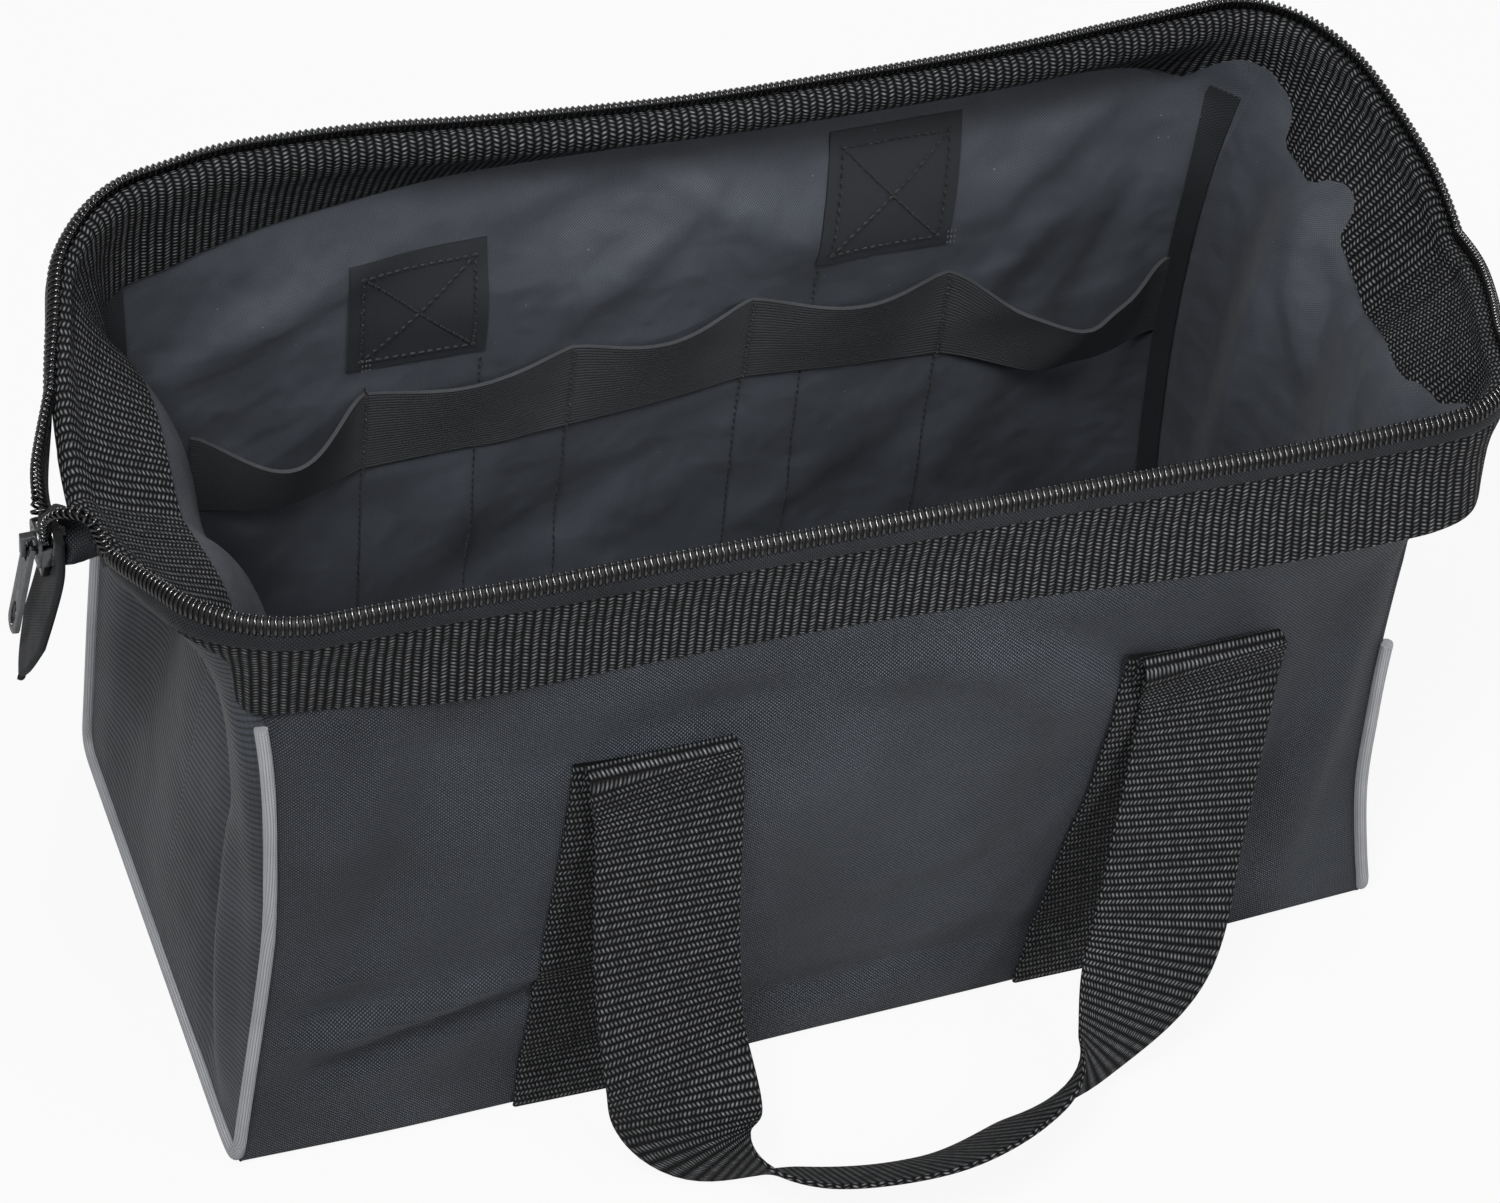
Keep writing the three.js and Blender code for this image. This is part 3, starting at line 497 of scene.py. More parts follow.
def end_cloth_material():
    """The outer cloth of the ends, whose weft shows as fine ribs along the bag's depth."""
    material, tree, shader = start_material("ribbed outer cloth", 0.5, 0.06, 0.35, specular=0.35)
    ribs, used = ribs_of(tree, 0.0026, 0.0011), handled(tree, 0.05, 0.5)
    tone = ramp(tree, used.outputs["Tone"], 0.3, 0.7, 0.6, 1.15)
    # The colour follows the ribs' height: painted shade in the grooves and painted highlight on the
    # ribs' tops.
    factor = times(tree, calc(tree, "POWER", ribs, 1.4), tone)
    colour = blend_colour(tree, factor, shade(14, 0.5), shade(78, 0.45))
    colour = blend_colour(tree, used.outputs["Specks"], colour, shade(150, 0.3))
    ripple = bump(tree, used.outputs["Ripple"], 0.003, 0.4)
    feed(tree, shader, {"Base Color": colour,
                        "Normal": bump(tree, ribs, 0.0006, 0.8, Normal=ripple)})
    return material


def ribbed_material(name, pitch, thread, lint, peak, dark, light, depth, strength, **even):
    """A narrow strip with fine ribs: the elastic or the piping."""
    material, tree, shader = start_material(name, **even)
    ribs, used = ribs_of(tree, pitch, thread), handled(tree, 0.02, lint)
    # The colour follows the ribs' height: painted shade between the ribs and painted highlight on their
    # tops.
    factor = times(tree, ribs, ramp(tree, used.outputs["Tone"], 0, 1, 0.6, peak))
    feed(tree, shader, {"Base Color": blend_colour(tree, factor, dark, light),
                        "Normal": bump(tree, ribs, depth, strength)})
    return material


def metal_material(name, value, rough):
    """Plated metal with fine scratches and a worn, lighter tone in patches."""
    material, tree, shader = start_material(name, rough, metallic=1.0)
    used = handled(tree, 0.004)
    colour = blend_colour(tree, used.outputs["Tone"], shade(value * 0.8, 0.1), shade(value * 1.15, 0.1))
    rub = ramp(tree, used.outputs["Ripple"], 0.3, 0.7, rough * 0.7, rough * 1.4)
    feed(tree, shader, {"Base Color": colour, "Roughness": rub,
                        "Normal": bump(tree, used.outputs["Ripple"], 0.0001, 0.2)})
    return material


def smooth_material(name, dark, light, rough, size, sheen=0.0, gloss=1.5):
    """Nylon or thread: glossy, with a slightly uneven tone."""
    material, tree, shader = start_material(name, rough, sheen)
    used = handled(tree, size)
    feed(tree, shader, {
        "Base Color": blend_colour(tree, used.outputs["Tone"], shade(dark), shade(light)),
        "IOR": gloss, "Normal": bump(tree, used.outputs["Ripple"], 0.00008, 0.3)})
    return material


WEBBING = webbing_material()
OUTER_CLOTH = woven_material("outer cloth", 5, 118, 0.00063, 0.04, 0.45, depth=0.9, size=0.07,
                             rough=0.5, sharp=2.0)
END_CLOTH = end_cloth_material()
LINING = woven_material("lining", 46, 100, 0.00045, 0.06, 0.4, depth=0.45, size=0.05, lint=0.9,
                        rough=0.36, crease=0.014)
TAPE = woven_material("zip tape", 8, 62, 0.0006, 0.05, 0.5, depth=0.5, size=0.03, lint=0.2,
                      rough=0.5, sharp=1.4)
PATCH = woven_material("handle patch", 34, 58, 0.0004, 0.08, 0.4)
BINDING = woven_material("seam binding", 22, 62, 0.0006, 0.05, 0.3)
ELASTIC = ribbed_material(
    "ribbed elastic", 0.0013, 0.0009, 0.5, 1.2, shade(12, 0.2), shade(68, 0.2), 0.0005, 0.9,
    roughness=0.7, sheen=0.03, sheen_roughness=0.4, specular=0.25)
PIPING = ribbed_material(
    "grey piping", 0.0009, 0.0012, 0.2, 1.3, shade(96, 0.1), shade(178, 0.12), 0.0003, 0.7,
    roughness=0.5, sheen=0.2, sheen_roughness=0.3)
STEEL = metal_material("spring steel", 190, 0.3)
GUNMETAL = metal_material("gunmetal", 120, 0.28)
NYLON = smooth_material("coil nylon", 10, 26, rough=0.2, size=0.01, gloss=2.0)
THREAD = smooth_material("black thread", 10, 30, rough=0.6, size=0.004, sheen=0.2)
TACK_THREAD = smooth_material("tack thread", 62, 104, rough=0.6, size=0.004, sheen=0.2)


# ---------------------------------------------------------------- repeated shapes

def repeat_tree(name, sizes, shape):
    """A Geometry Nodes tree that sets a shape at even steps along a line of edges."""
    tree = bpy.data.node_groups.new(name, "GeometryNodeTree")
    face = tree.interface
    face.new_socket("Line", in_out="INPUT", socket_type="NodeSocketGeometry")
    for label, value in sizes.items():
        face.new_socket(label, in_out="INPUT", socket_type=NUMBER).default_value = value
    face.new_socket("Finish", in_out="INPUT", socket_type="NodeSocketMaterial")
    face.new_socket("Shapes", in_out="OUTPUT", socket_type="NodeSocketGeometry")
    start, end = tree.nodes.new("NodeGroupInput"), tree.nodes.new("NodeGroupOutput")
    curve = place(tree, "GeometryNodeMeshToCurve", {0: start.outputs["Line"]})
    steps = place(tree, "GeometryNodeResampleCurve", {
        "Curve": curve.outputs[0], "Length": start.outputs["Pitch"]}, mode="LENGTH")
    up = place(tree, "GeometryNodeInputNamedAttribute", {"Name": "up"}, data_type="FLOAT_VECTOR")
    tangent = place(tree, "GeometryNodeInputTangent")
    turn = place(tree, "FunctionNodeAxesToRotation", {
        "Primary Axis": tangent.outputs[0], "Secondary Axis": up.outputs[0]},
        primary_axis="Z", secondary_axis="Y")
    copies = place(tree, "GeometryNodeInstanceOnPoints", {
        "Points": steps.outputs[0], "Instance": shape(tree, start), "Rotation": turn.outputs[0]})
    real = place(tree, "GeometryNodeRealizeInstances", {0: copies.outputs[0]})
    painted = place(tree, "GeometryNodeSetMaterial", {
        "Geometry": real.outputs[0], "Material": start.outputs["Finish"]})
    smooth = place(tree, "GeometryNodeSetShadeSmooth", {0: painted.outputs[0]})
    feed(tree, end, {"Shapes": smooth.outputs[0]})
    return tree


def coil_loop(tree, start):
    """One turn of the coil: a flattened loop of round nylon."""
    size = place(tree, "ShaderNodeCombineXYZ", {
        0: start.outputs["Thickness"], 1: start.outputs["Height"], 2: 1.0})
    loop = place(tree, "GeometryNodeCurvePrimitiveCircle", {"Resolution": 9, "Radius": 0.5})
    loop = place(tree, "GeometryNodeTransform", {0: loop.outputs[0], "Scale": size.outputs[0]})
    section = place(tree, "GeometryNodeCurvePrimitiveCircle", {
        "Resolution": 5, "Radius": start.outputs["Strand"]})
    solid = place(tree, "GeometryNodeCurveToMesh", {0: loop.outputs[0], 1: section.outputs[0]})
    return solid.outputs[0]


def stitch_shape(tree, start):
    """One stitch: a short rounded bead of thread along the line."""
    size = place(tree, "ShaderNodeCombineXYZ", {
        0: start.outputs["Thickness"], 1: start.outputs["Thickness"], 2: start.outputs["Length"]})
    bead = place(tree, "GeometryNodeMeshUVSphere", {"Segments": 6, "Rings": 5, "Radius": 0.5})
    bead = place(tree, "GeometryNodeTransform", {0: bead.outputs[0], "Scale": size.outputs[0]})
    return bead.outputs[0]


COIL_TREE = repeat_tree("coil along a line", {
    "Pitch": TOOTH_PITCH * MM, "Height": 0.0054, "Thickness": 0.0026, "Strand": 0.00052},
    coil_loop)
STITCH_TREE = repeat_tree("stitches along a line", {
    "Pitch": 0.003, "Length": 0.0023, "Thickness": 0.0007}, stitch_shape)


def repeated(name, tree, lines, ups, finish, **sizes):
    """Runs a repeat tree over lines of points, and returns the result as a plain mesh object."""
    points, edges, up = [], [], []
    for line, directions in zip(lines, ups):
        first = len(points)
        points += (np.asarray(line) * MM).tolist()
        up += np.broadcast_to(directions, np.shape(line)).tolist()
        edges += [(first + i, first + i + 1) for i in range(len(line) - 1)]
    guide = bpy.data.meshes.new(name)
    guide.from_pydata(points, edges, [])
    guide.attributes.new("up", "FLOAT_VECTOR", "POINT").data.foreach_set("vector", np.ravel(up))
    carrier = add_object(name, guide)
    modifier = carrier.modifiers.new("repeat", "NODES")
    modifier.node_group = tree
    names = {s.name: s.identifier for s in tree.interface.items_tree if s.in_out == "INPUT"}
    modifier[names["Finish"]] = finish
    for label, value in sizes.items():
        modifier[names[label]] = value * MM
    settle(carrier)
    bpy.data.meshes.remove(guide)
    carrier.data.name = name
    return carrier


# ---------------------------------------------------------------- the rim

# How far a rim's wire stands outward and up from its even place, and how its flap leans, by x
RIM_SHAPE = {
    FRONT: smooth_table([
        # x, outward, up, lean in degrees
        [-206, -6, 0, 6], [-178, -6, 0, 7], [-143, -5, 0, -4], [-114, -3.5, 0, -3],
        [-81, -3, 0, -2], [-20, -0.8, 0, -1], [47, 0.5, -1, -6], [111, 2.5, -1.5, -14],
        [154, 3, -1.5, -16], [177, 2.5, -1.5, -14], [206, 0, 0, 0]]),
    BACK: smooth_table([
        [-206, 0, 0, 0], [-179, 2, 1.5, -1], [-159, 4, 3.5, -6], [-139, 4, 4, -15],
        [-107, 3, 3, -26], [-74, 1, 0.5, -37], [-26, -2, -1.5, -43], [14, -3, -3, -44],
        [96, -3.5, -3.5, -44], [139, -2.5, -2.5, -42], [165, -2, -1.5, -36],
        [185, -1, -1, -16], [206, 0, 0, 0]]),
}
# Lean of the flap along an arm, by distance from the end's middle, in degrees
ARM_LEAN = {
    LEFT: smooth_table([[0, 67], [20, 65], [40, 59], [60, 45], [78, 22], [90, 5], [95, 0]]),
    RIGHT: smooth_table([[0, 49], [20, 48], [40, 44], [60, 36], [78, 20], [90, 5], [95, 0]]),
}


# How far each end of the rim stands outward and up from its even place, by place along Y
END_SHIFT = {
    LEFT: smooth_table([[-95, 0, 0], [0, 0, 2], [95, 0, 0]]),
    RIGHT: smooth_table([[-95, -5, 0], [-75, -5, 0], [-60, -2, 0], [-40, 5, 0], [-20, 11, 0],
                         [0, 14, 0], [20, 15, 1], [40, 13, 2], [60, 9, 3], [75, 4, 2], [95, 0, 0]]),
}
# Outward lean of the tape and coil along an arm, by distance from the end's middle
ZIP_LEAN = {
    LEFT: smooth_table([[0, 38], [30, 26], [55, 8], [75, 0], [95, 0]]),
    RIGHT: smooth_table([[0, 12], [30, 10], [60, 4], [95, 0]]),
}


class Rim:
    """The wire from the middle of a long side to the middle of an end, as even points."""

    def __init__(self, side, end, count=220):
        straight = CORNER_X - CORNER_RADIUS
        plan = [[x, MOUTH_HALF] for x in np.linspace(0, straight, 80, endpoint=False)]
        for angle in np.linspace(math.pi / 2, 0, 24):
            plan.append([straight + CORNER_RADIUS * math.cos(angle),
                         MOUTH_HALF - CORNER_RADIUS + CORNER_RADIUS * math.sin(angle)])
        plan += [[CORNER_X, y] for y in np.linspace(MOUTH_HALF - CORNER_RADIUS, 0, 40)[1:]]
        plan = evenly(plan, count)
        x, y = plan[:, 0], plan[:, 1]
        x = x + ARM_BOW[end] * (1 - (y / MOUTH_HALF) ** 1.6)
        table, ends = RIM_SHAPE[side], END_SHIFT[end]
        on_side, on_end = smoothstep(30, MOUTH_HALF, y), smoothstep(140, 195, plan[:, 0])
        shift = look_up(table, end * x, 1) * on_side
        rise = look_up(table, end * x, 2) * on_side
        x = x + look_up(ends, side * y, 1) * on_end
        z = RIM_HEIGHT - HINGE_DROP * (1 - y / MOUTH_HALF) + rise
        z = z + look_up(ends, side * y, 2) * on_end
        self.wire = np.stack([end * x, side * (y + shift), z], 1)
        step = np.gradient(self.wire, axis=0)
        level = smoothstep(0, 30, y)
        out = unit(np.stack([step[:, 1], -step[:, 0] * level, 0 * x], 1))
        self.outward = out * np.sign((out * self.wire).sum(1, keepdims=True))
        share = smoothstep(MOUTH_HALF, MOUTH_HALF - 12, y)
        self.lean = np.radians(look_up(table, end * x, 3) * (1 - share)
                               + look_up(ARM_LEAN[end], y) * share)
        self.fan = np.radians(look_up(ZIP_LEAN[end], y)) * share
        self.length = lengths(self.wire)
        self.y = y

    def section(self, across, up):
        """Points at a place (across outward, up) of the section: the flap leans below the wire,
        and the zip fans out above it."""
        turn = self.lean * smoothstep(-7, 3, -up) + self.fan * smoothstep(1, 6, up)
        a = across * np.cos(turn) + up * np.sin(turn)
        b = up * np.cos(turn) - across * np.sin(turn)
        return self.wire + self.outward * a[:, None] + UP * b[:, None]

    def rings(self, outline):
        return np.stack([self.section(a, b) for a, b in outline], 1)


RIMS = {corner: Rim(*corner) for corner in CORNERS}


def sheet_outline(middle, half):
    """Both faces of a sheet about a line of its section, at a half thickness."""
    step = unit(np.gradient(middle, axis=0))
    normal = np.stack([step[:, 1], -step[:, 0]], 1) * half
    return np.vstack([middle + normal, (middle - normal)[::-1]])


def folded_outline(thickness):
    """Section of the webbing folded over the wire: down both sides of the cloth."""
    wide, crown = 3.1, 4.0
    outer = [(1.75, -OUTER_DROP + d) for d in (0, 4, 8, 12, 16, 20)]
    over = [(2.1, -8), (2.9, -3), (wide, 1)]
    top = [(wide * math.cos(t), crown + wide * math.sin(t)) for t in np.linspace(0, math.pi, 9)]
    down = [(-a, b) for a, b in reversed(over)]
    inner = [(-1.75, -INNER_DROP + d) for d in (18, 14, 10, 6, 3, 0)]
    middle = evenly(np.array(outer + over + top + down + inner, float), 34)
    half = np.full((len(middle), 1), thickness / 2)
    half[[0, -1]] *= 0.55
    return sheet_outline(middle, half)


# ---------------------------------------------------------------- the shell

# Bottom edge of each long side: distance from the middle plane, by x
BOTTOM_EDGE = {
    FRONT: smooth_table([[-200, 91], [-154, 92.7], [-110, 93.1], [-65, 93.4], [-21, 92.2],
                         [64, 91.8], [130, 90.4], [200, 88.6]]),
    BACK: smooth_table([[-200, 88.5], [-100, 91], [0, 92], [100, 91], [200, 88.5]]),
}
# How far each upright seam is pulled in along the length, by height
SEAM_PULL = {
    (FRONT, LEFT): smooth_table([[0, 0], [35, 3], [92, 8], [122, 9.5], [175, 8.5], [205, 6], [236, 0]]),
    (FRONT, RIGHT): smooth_table([[0, 0], [28, 7], [62, 14], [94, 17], [124, 19], [165, 20],
                                  [185, 19], [207, 14], [236, 2]]),
    (BACK, LEFT): smooth_table([[0, 0], [60, 2], [120, 4], [180, 3], [236, 0]]),
    (BACK, RIGHT): smooth_table([[0, 0], [60, 7], [120, 11], [180, 10], [236, 1]]),
}
# Soft folds on the long sides: x, height, angle in degrees, half length, half width, outward
FOLDS = {
    FRONT: [(20, 135, 0, 140, 60, 6.5), (-142, 66, 12, 46, 7, 4.6), (-146, 50, 16, 46, 6, -4.2),
            (-176, 84, 4, 16, 4, 1.8), (-176, 70, 2, 16, 4, -1.8), (-176, 56, -2, 16, 4, 1.8),
            (-160, 140, 76, 60, 11, -3.6), (160, 110, 80, 60, 13, -4.6), (178, 90, 84, 70, 9, 3.2),
            (140, 60, 62, 34, 8, -3.4), (-20, 26, 3, 110, 9, -3.4), (10, 184, -10, 60, 9, 3.4),
            (74, 172, -34, 34, 8, -3.8), (52, 160, -40, 30, 8, 2.6), (-60, 182, 12, 60, 9, -2.8),
            (60, 110, 66, 46, 12, -2.6), (30, 90, 20, 60, 14, 2.2)],
    BACK: [(-20, 110, 0, 150, 70, 2.0), (18, 194, -34, 36, 8, -4.0), (-14, 182, 40, 34, 7, -3.4),
           (-40, 198, 20, 30, 7, 2.8), (-136, 184, 24, 40, 8, -4.4), (120, 90, 60, 60, 12, -3.4),
           (-40, 66, 30, 70, 12, 3.0), (60, 70, 40, 50, 10, -2.6), (142, 200, 34, 36, 8, -4.6),
           (165, 160, 70, 50, 9, 3.4), (122, 152, 50, 30, 8, -3.6), (-70, 80, 70, 40, 9, -2.2)],
}
# Soft folds on the ends: depth place, height, angle, half length, half width, outward
END_FOLDS = {
    LEFT: [(-66, 92, 83, 84, 12, 8.0), (-40, 84, 80, 84, 10, -8.0), (-26, 176, 62, 34, 7, -4.0),
           (10, 120, 84, 90, 26, 4.5), (-8, 172, 40, 26, 6, 3.0), (50, 100, 96, 70, 14, -4.5),
           (-56, 168, 70, 26, 6, -3.0)],
    RIGHT: [(-50, 90, 84, 80, 12, 4.0), (-18, 110, 96, 80, 11, -4.0), (6, 150, 80, 60, 9, 3.0),
            (64, 130, 94, 90, 12, 5.0), (38, 130, 92, 90, 13, -9.0), (20, 176, 60, 30, 6, -3.5),
            (-30, 178, 40, 26, 6, 3.0)],
}
# Height from which a long side's cloth leaves its flat plane for the flap's lower edge
SWELL_FROM = 168.0
# The columns of cloth: height of the lowest point, top of the upright seams and points in each
FOOT_HEIGHT, SEAM_TOP, ROWS = 3.0, 236.0, 60
# Half the span of an end's cloth at the mouth
END_SPAN = 87.0


def rim_along(side, x):
    """Wire point and lean of a long side's rim at positions x."""
    left, right = RIMS[side, LEFT], RIMS[side, RIGHT]
    wire = np.vstack([left.wire[::-1], right.wire[1:]])
    lean = np.concatenate([left.lean[::-1], right.lean[1:]])
    keep = np.concatenate([left.y[::-1], right.y[1:]]) > 82
    wire, lean = wire[keep], lean[keep]
    return (np.interp(x, wire[:, 0], np.abs(wire[:, 1])), np.interp(x, wire[:, 0], wire[:, 2]),
            np.interp(x, wire[:, 0], lean))


def seam_pull(side, x, z):
    """Shift along x of a long side's cloth, towards the bag's middle."""
    left, right = (look_up(SEAM_PULL[side, end], z) for end in (LEFT, RIGHT))
    return np.where(x < 0, left, -right) * np.clip(np.abs(x) / HALF_LENGTH, 0, 1) ** 2


def folds(table, across, z, half):
    """Outward push of a table's folds, dying out towards the panel's edges."""
    total = np.zeros(np.broadcast(across, z).shape)
    for centre, height, angle, long, wide, high in table:
        turn = math.radians(angle)
        u = (across - centre) * math.cos(turn) + (z - height) * math.sin(turn)
        v = (z - height) * math.cos(turn) - (across - centre) * math.sin(turn)
        total = total + high * np.exp(-(u / long) ** 2 - (v / wide) ** 2)
    edge = smoothstep(0, 24, half - np.abs(across))
    return total * edge * smoothstep(0, 36, z) * smoothstep(232, 200, z)


def under_flap(knee, top):
    """The cloth's points above its knee at the flap's lower edge, up to just under the wire."""
    return knee + (top - knee) * np.linspace(0, 0.86, 6)[1:, None]


def bent_column(bottom, knee, top, lift, reach):
    """Cloth from a bottom point in a smooth bend up to its knee, then straight to the wire."""
    t = np.linspace(0, 1, ROWS)[:, None]
    into = unit(top - knee) * reach
    body = ((2 * t ** 3 - 3 * t ** 2 + 1) * bottom + (t ** 3 - 2 * t ** 2 + t) * (UP * lift)
            + (3 * t ** 2 - 2 * t ** 3) * knee + (t ** 3 - t ** 2) * into)
    return np.vstack([body, under_flap(knee, top)])


def long_side_columns(side, xs):
    """The long side's cloth, as a (columns, rows, 3) grid of its middle surface."""
    low = look_up(BOTTOM_EDGE[side], xs)
    columns = []
    for x, foot, y, z, turn in zip(xs, low, *rim_along(side, xs)):
        knee_y, knee_z = y - INNER_DROP * math.sin(turn), z - INNER_DROP * math.cos(turn)
        heights = np.linspace(FOOT_HEIGHT, knee_z, ROWS)
        flat = foot + (y - foot) * (heights - FOOT_HEIGHT) / (z - FOOT_HEIGHT)
        swell = np.clip((heights - SWELL_FROM) / (knee_z - SWELL_FROM), 0, 1) ** 1.7
        line = np.stack([np.full(ROWS, x), flat + (knee_y - flat[-1]) * swell, heights], 1)
        made = np.vstack([[x, foot - 2.6, 0.9], [x, foot - 0.8, 1.6], line,
                          under_flap(line[-1], np.array([x, y, z]))])
        made[:, 1] += folds(FOLDS[side], made[:, 0], made[:, 2], HALF_LENGTH)
        made[:, 0] += seam_pull(side, made[:, 0], made[:, 2])
        made[:, 1] *= side
        columns.append(made)
    return np.array(columns)


def wall_line(side, x, heights):
    """A long side's middle surface at one unpulled x, at the heights."""
    made = long_side_columns(side, np.array([x]))[0][2:]
    return points_at(heights, made[:, 2], made)


def on_long_side(side, x, z, offset):
    """A point near a long side's cloth at (x, height), at an offset outward of its middle."""
    x0 = x - seam_pull(side, x, z)
    near = [side * wall_line(side, at, [z])[0, 1] for at in (x0 - 1.0, x0 + 1.0)]
    return np.array([x, side * (np.mean(near) + offset), z])


def long_side_strip(side, x, heights, offset, width, columns=9):
    """Points of a strip that lies on a long side: (columns, heights, 3)."""
    grid = []
    for step in np.linspace(-width / 2, width / 2, columns):
        at = x + step + np.zeros_like(heights)
        x0 = at - seam_pull(side, at, heights)
        y = wall_line(side, x0.mean(), heights)[:, 1] + side * offset
        grid.append(np.stack([at, y, heights], 1))
    return np.array(grid)


def lined_cloth(name, middle, outward, finish):
    """A lined wall about a (columns, rows, 3) grid, with its finish on the outward side."""
    normal = surface_normals(middle)
    turn = np.sign(normal[len(middle) // 2, 30] @ outward)
    outside = middle + normal * turn * CLOTH / 2
    return cloth_panel(name, outside if turn > 0 else outside[::-1], CLOTH, [finish, LINING])


def build_long_wall(side):
    word = SIDE_NAME[side]
    middle = long_side_columns(side, np.linspace(-HALF_LENGTH, HALF_LENGTH, 161))
    made = lined_cloth(f"{word}_wall_cloth", middle, (0, side, 0), OUTER_CLOTH)
    on_body(made, f"{word}_side", "outer_cloth", f"{word}_wall")


def end_grid(end, shares):
    """The cloth of half an end, from its middle (share 0) to the front (-1) or back (1) seam."""
    front, back = RIMS[FRONT, end], RIMS[BACK, end]
    wire = np.vstack([front.wire, back.wire[::-1][1:]])
    outward = np.vstack([front.outward, back.outward[::-1][1:]])
    lean = np.concatenate([front.lean, back.lean[::-1][1:]])
    y = wire[:, 1]
    order = np.argsort(y)
    keep = [i for i in order if abs(y[i]) < 90 and abs(wire[i, 0]) > 190]
    wire, outward, lean, y = wire[keep], outward[keep], lean[keep], y[keep]
    side = FRONT if shares[-1] < 0 else BACK
    foot = look_up(BOTTOM_EDGE[side], end * HALF_LENGTH)
    at = shares * END_SPAN
    columns = []
    for share, top, out, turn in zip(shares, points_at(at, y, wire), points_at(at, y, outward),
                                     np.interp(at, y, lean)):
        knee = top - INNER_DROP * (out * math.sin(turn) + UP * math.cos(turn))
        made = bent_column(np.array([end * HALF_LENGTH, share * foot, FOOT_HEIGHT]), knee, top,
                           110.0, 70.0 + 50 * math.sin(max(turn, 0)))
        columns.append(np.vstack([[end * (HALF_LENGTH - 2.6), share * (foot - 1), 0.9],
                                  [end * (HALF_LENGTH - 0.8), share * foot, 1.6], made]))
    grid = np.array(columns)
    gap = wall_line(side, end * HALF_LENGTH, np.minimum(grid[-1][:, 2], SEAM_TOP)) - grid[-1]
    gap[:, 2] = 0
    gap[:2] = 0  # the turned-in foot stays over the base's edge
    grid = grid + (np.abs(shares) ** 2.5)[:, None, None] * gap[None]
    grid[:, :, 0] += end * folds(END_FOLDS[end], grid[:, :, 1], grid[:, :, 2], 90.0)
    return grid


def build_end_wall(end):
    name = END_NAME[end]
    for side in (FRONT, BACK):
        middle = end_grid(end, np.linspace(0, side, 61))
        made = lined_cloth(f"{name}_end_cloth_{SIDE_NAME[side]}", middle, (end, 0, 0), END_CLOTH)
        between(made, ("base", f"{SIDE_NAME[side]}_side"), (end * 0.2, 0, 0.1),
                (end * 0.2, side * 0.092, 0.1), "outer_cloth", f"{name}_end_wall")


# ---------------------------------------------------------------- band and zip

# How near the end's middle the bands and wires come, and how far from it the covers reach
BAND_STOP, WIRE_STOP, COVER_REACH = 15.5, 15.0, 17.5


def build_bands():
    outline = folded_outline(1.5)
    for (side, end), rim in RIMS.items():
        half = half_name(side, end)
        keep = rim.y > BAND_STOP
        rings = rim.rings(outline)[keep]
        made = loft(f"{half}_webbing_band", rings, [WEBBING], along=rim.length[keep])
        on_rim(made, side, end, "webbing", f"{SIDE_NAME[side]}_long_band", f"{half}_arm_band")


def build_hinge_covers():
    outline = folded_outline(1.9)
    for end in (LEFT, RIGHT):
        front, back = RIMS[FRONT, end], RIMS[BACK, end]
        rings = np.concatenate([front.rings(outline)[front.y < COVER_REACH],
                                back.rings(outline)[back.y < COVER_REACH][::-1][1:]])
        made = loft(f"{END_NAME[end]}_hinge_webbing", rings, [WEBBING])
        on_body(made, "front_frame", "webbing", f"{END_NAME[end]}_hinge_cover")


# Places on the rim's section: the zip's tape, and its coil's middle and top
TAPE_LINE = np.array([(4.2, 2.5), (4.3, 4.2), (3.7, 6.4), (2.5, 8.6), (0.6, 11.6)])
COIL_MIDDLE = (2.2, 9.8)
COIL_TOP = (0.2, 12.6)
# Where the zip leaves the left end's bands for the slider, from the end's middle
ZIP_STOP = 33.0


def build_zips():
    outline = sheet_outline(evenly(TAPE_LINE, 9), 0.4)
    for (side, end), rim in RIMS.items():
        half = half_name(side, end)
        keep = rim.y >= (ZIP_STOP if end == LEFT else 0.0)
        tape = loft(f"{half}_tape", rim.rings(outline)[keep], [TAPE], along=rim.length[keep])
        line = rim.section(*COIL_MIDDLE)[keep]
        up = unit(rim.section(*COIL_TOP)[keep] - line)
        teeth = repeated(f"{half}_coil_teeth", COIL_TREE, [line], [up], NYLON)
        core = rod(f"{half}_coil_core", line, 1.9, THREAD, 8, 0.35, up)
        for made, node, slot in ((tape, "tape", "outer_cloth"), (teeth, "coil", "nylon"),
                                 (core, "coil", "nylon")):
            on_rim(made, side, end, slot, f"{SIDE_NAME[side]}_long_zip_{node}",
                   f"{half}_arm_zip_{node}")
        if end == RIGHT:
            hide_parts("right_zip_join")


# ---------------------------------------------------------------- base and piping

def build_base():
    grid = []
    for x in np.linspace(-HALF_LENGTH + 2, HALF_LENGTH - 2, 81):
        front, back = (side * (look_up(BOTTOM_EDGE[side], x) - 2.4) for side in (FRONT, BACK))
        grid.append([[x, y, 0.2] for y in np.linspace(back, front, 31)])
    made = cloth_panel("base_cloth", np.array(grid), CLOTH, [OUTER_CLOTH])
    on_body(made, "base", "outer_cloth", "base_panel")


def build_board():
    """The stiff board in lining cloth that lies in the bottom, with a soft edge."""
    half_x, half_y, corner = 189.0, 77.0, 8
    outline = np.array([
        [cx * (half_x - corner) + corner * math.cos(angle),
         cy * (half_y - corner) + corner * math.sin(angle)]
        for cx, cy, first in ((1, 1, 0), (-1, 1, 90), (-1, -1, 180), (1, -1, 270))
        for angle in np.radians(np.linspace(first, first + 90, 7))])
    # share of the outline and height of each ring, from below to the top's middle
    levels = [(0.6, 2.6), (0.96, 2.6), (0.995, 3.3), (1.0, 4.4), (0.995, 5.5), (0.98, 6.1),
              (0.9, 6.4), (0.6, 6.5), (0.25, 6.4), (0.02, 6.4)]
    rings = [np.column_stack([outline * [1 - (1 - s) * 0.5, s] if s > 0.85 else outline * s,
                              np.full(len(outline), z)]) for s, z in levels]
    on_body(loft("board_cover", rings, [LINING]), "base", "board", "base_board")


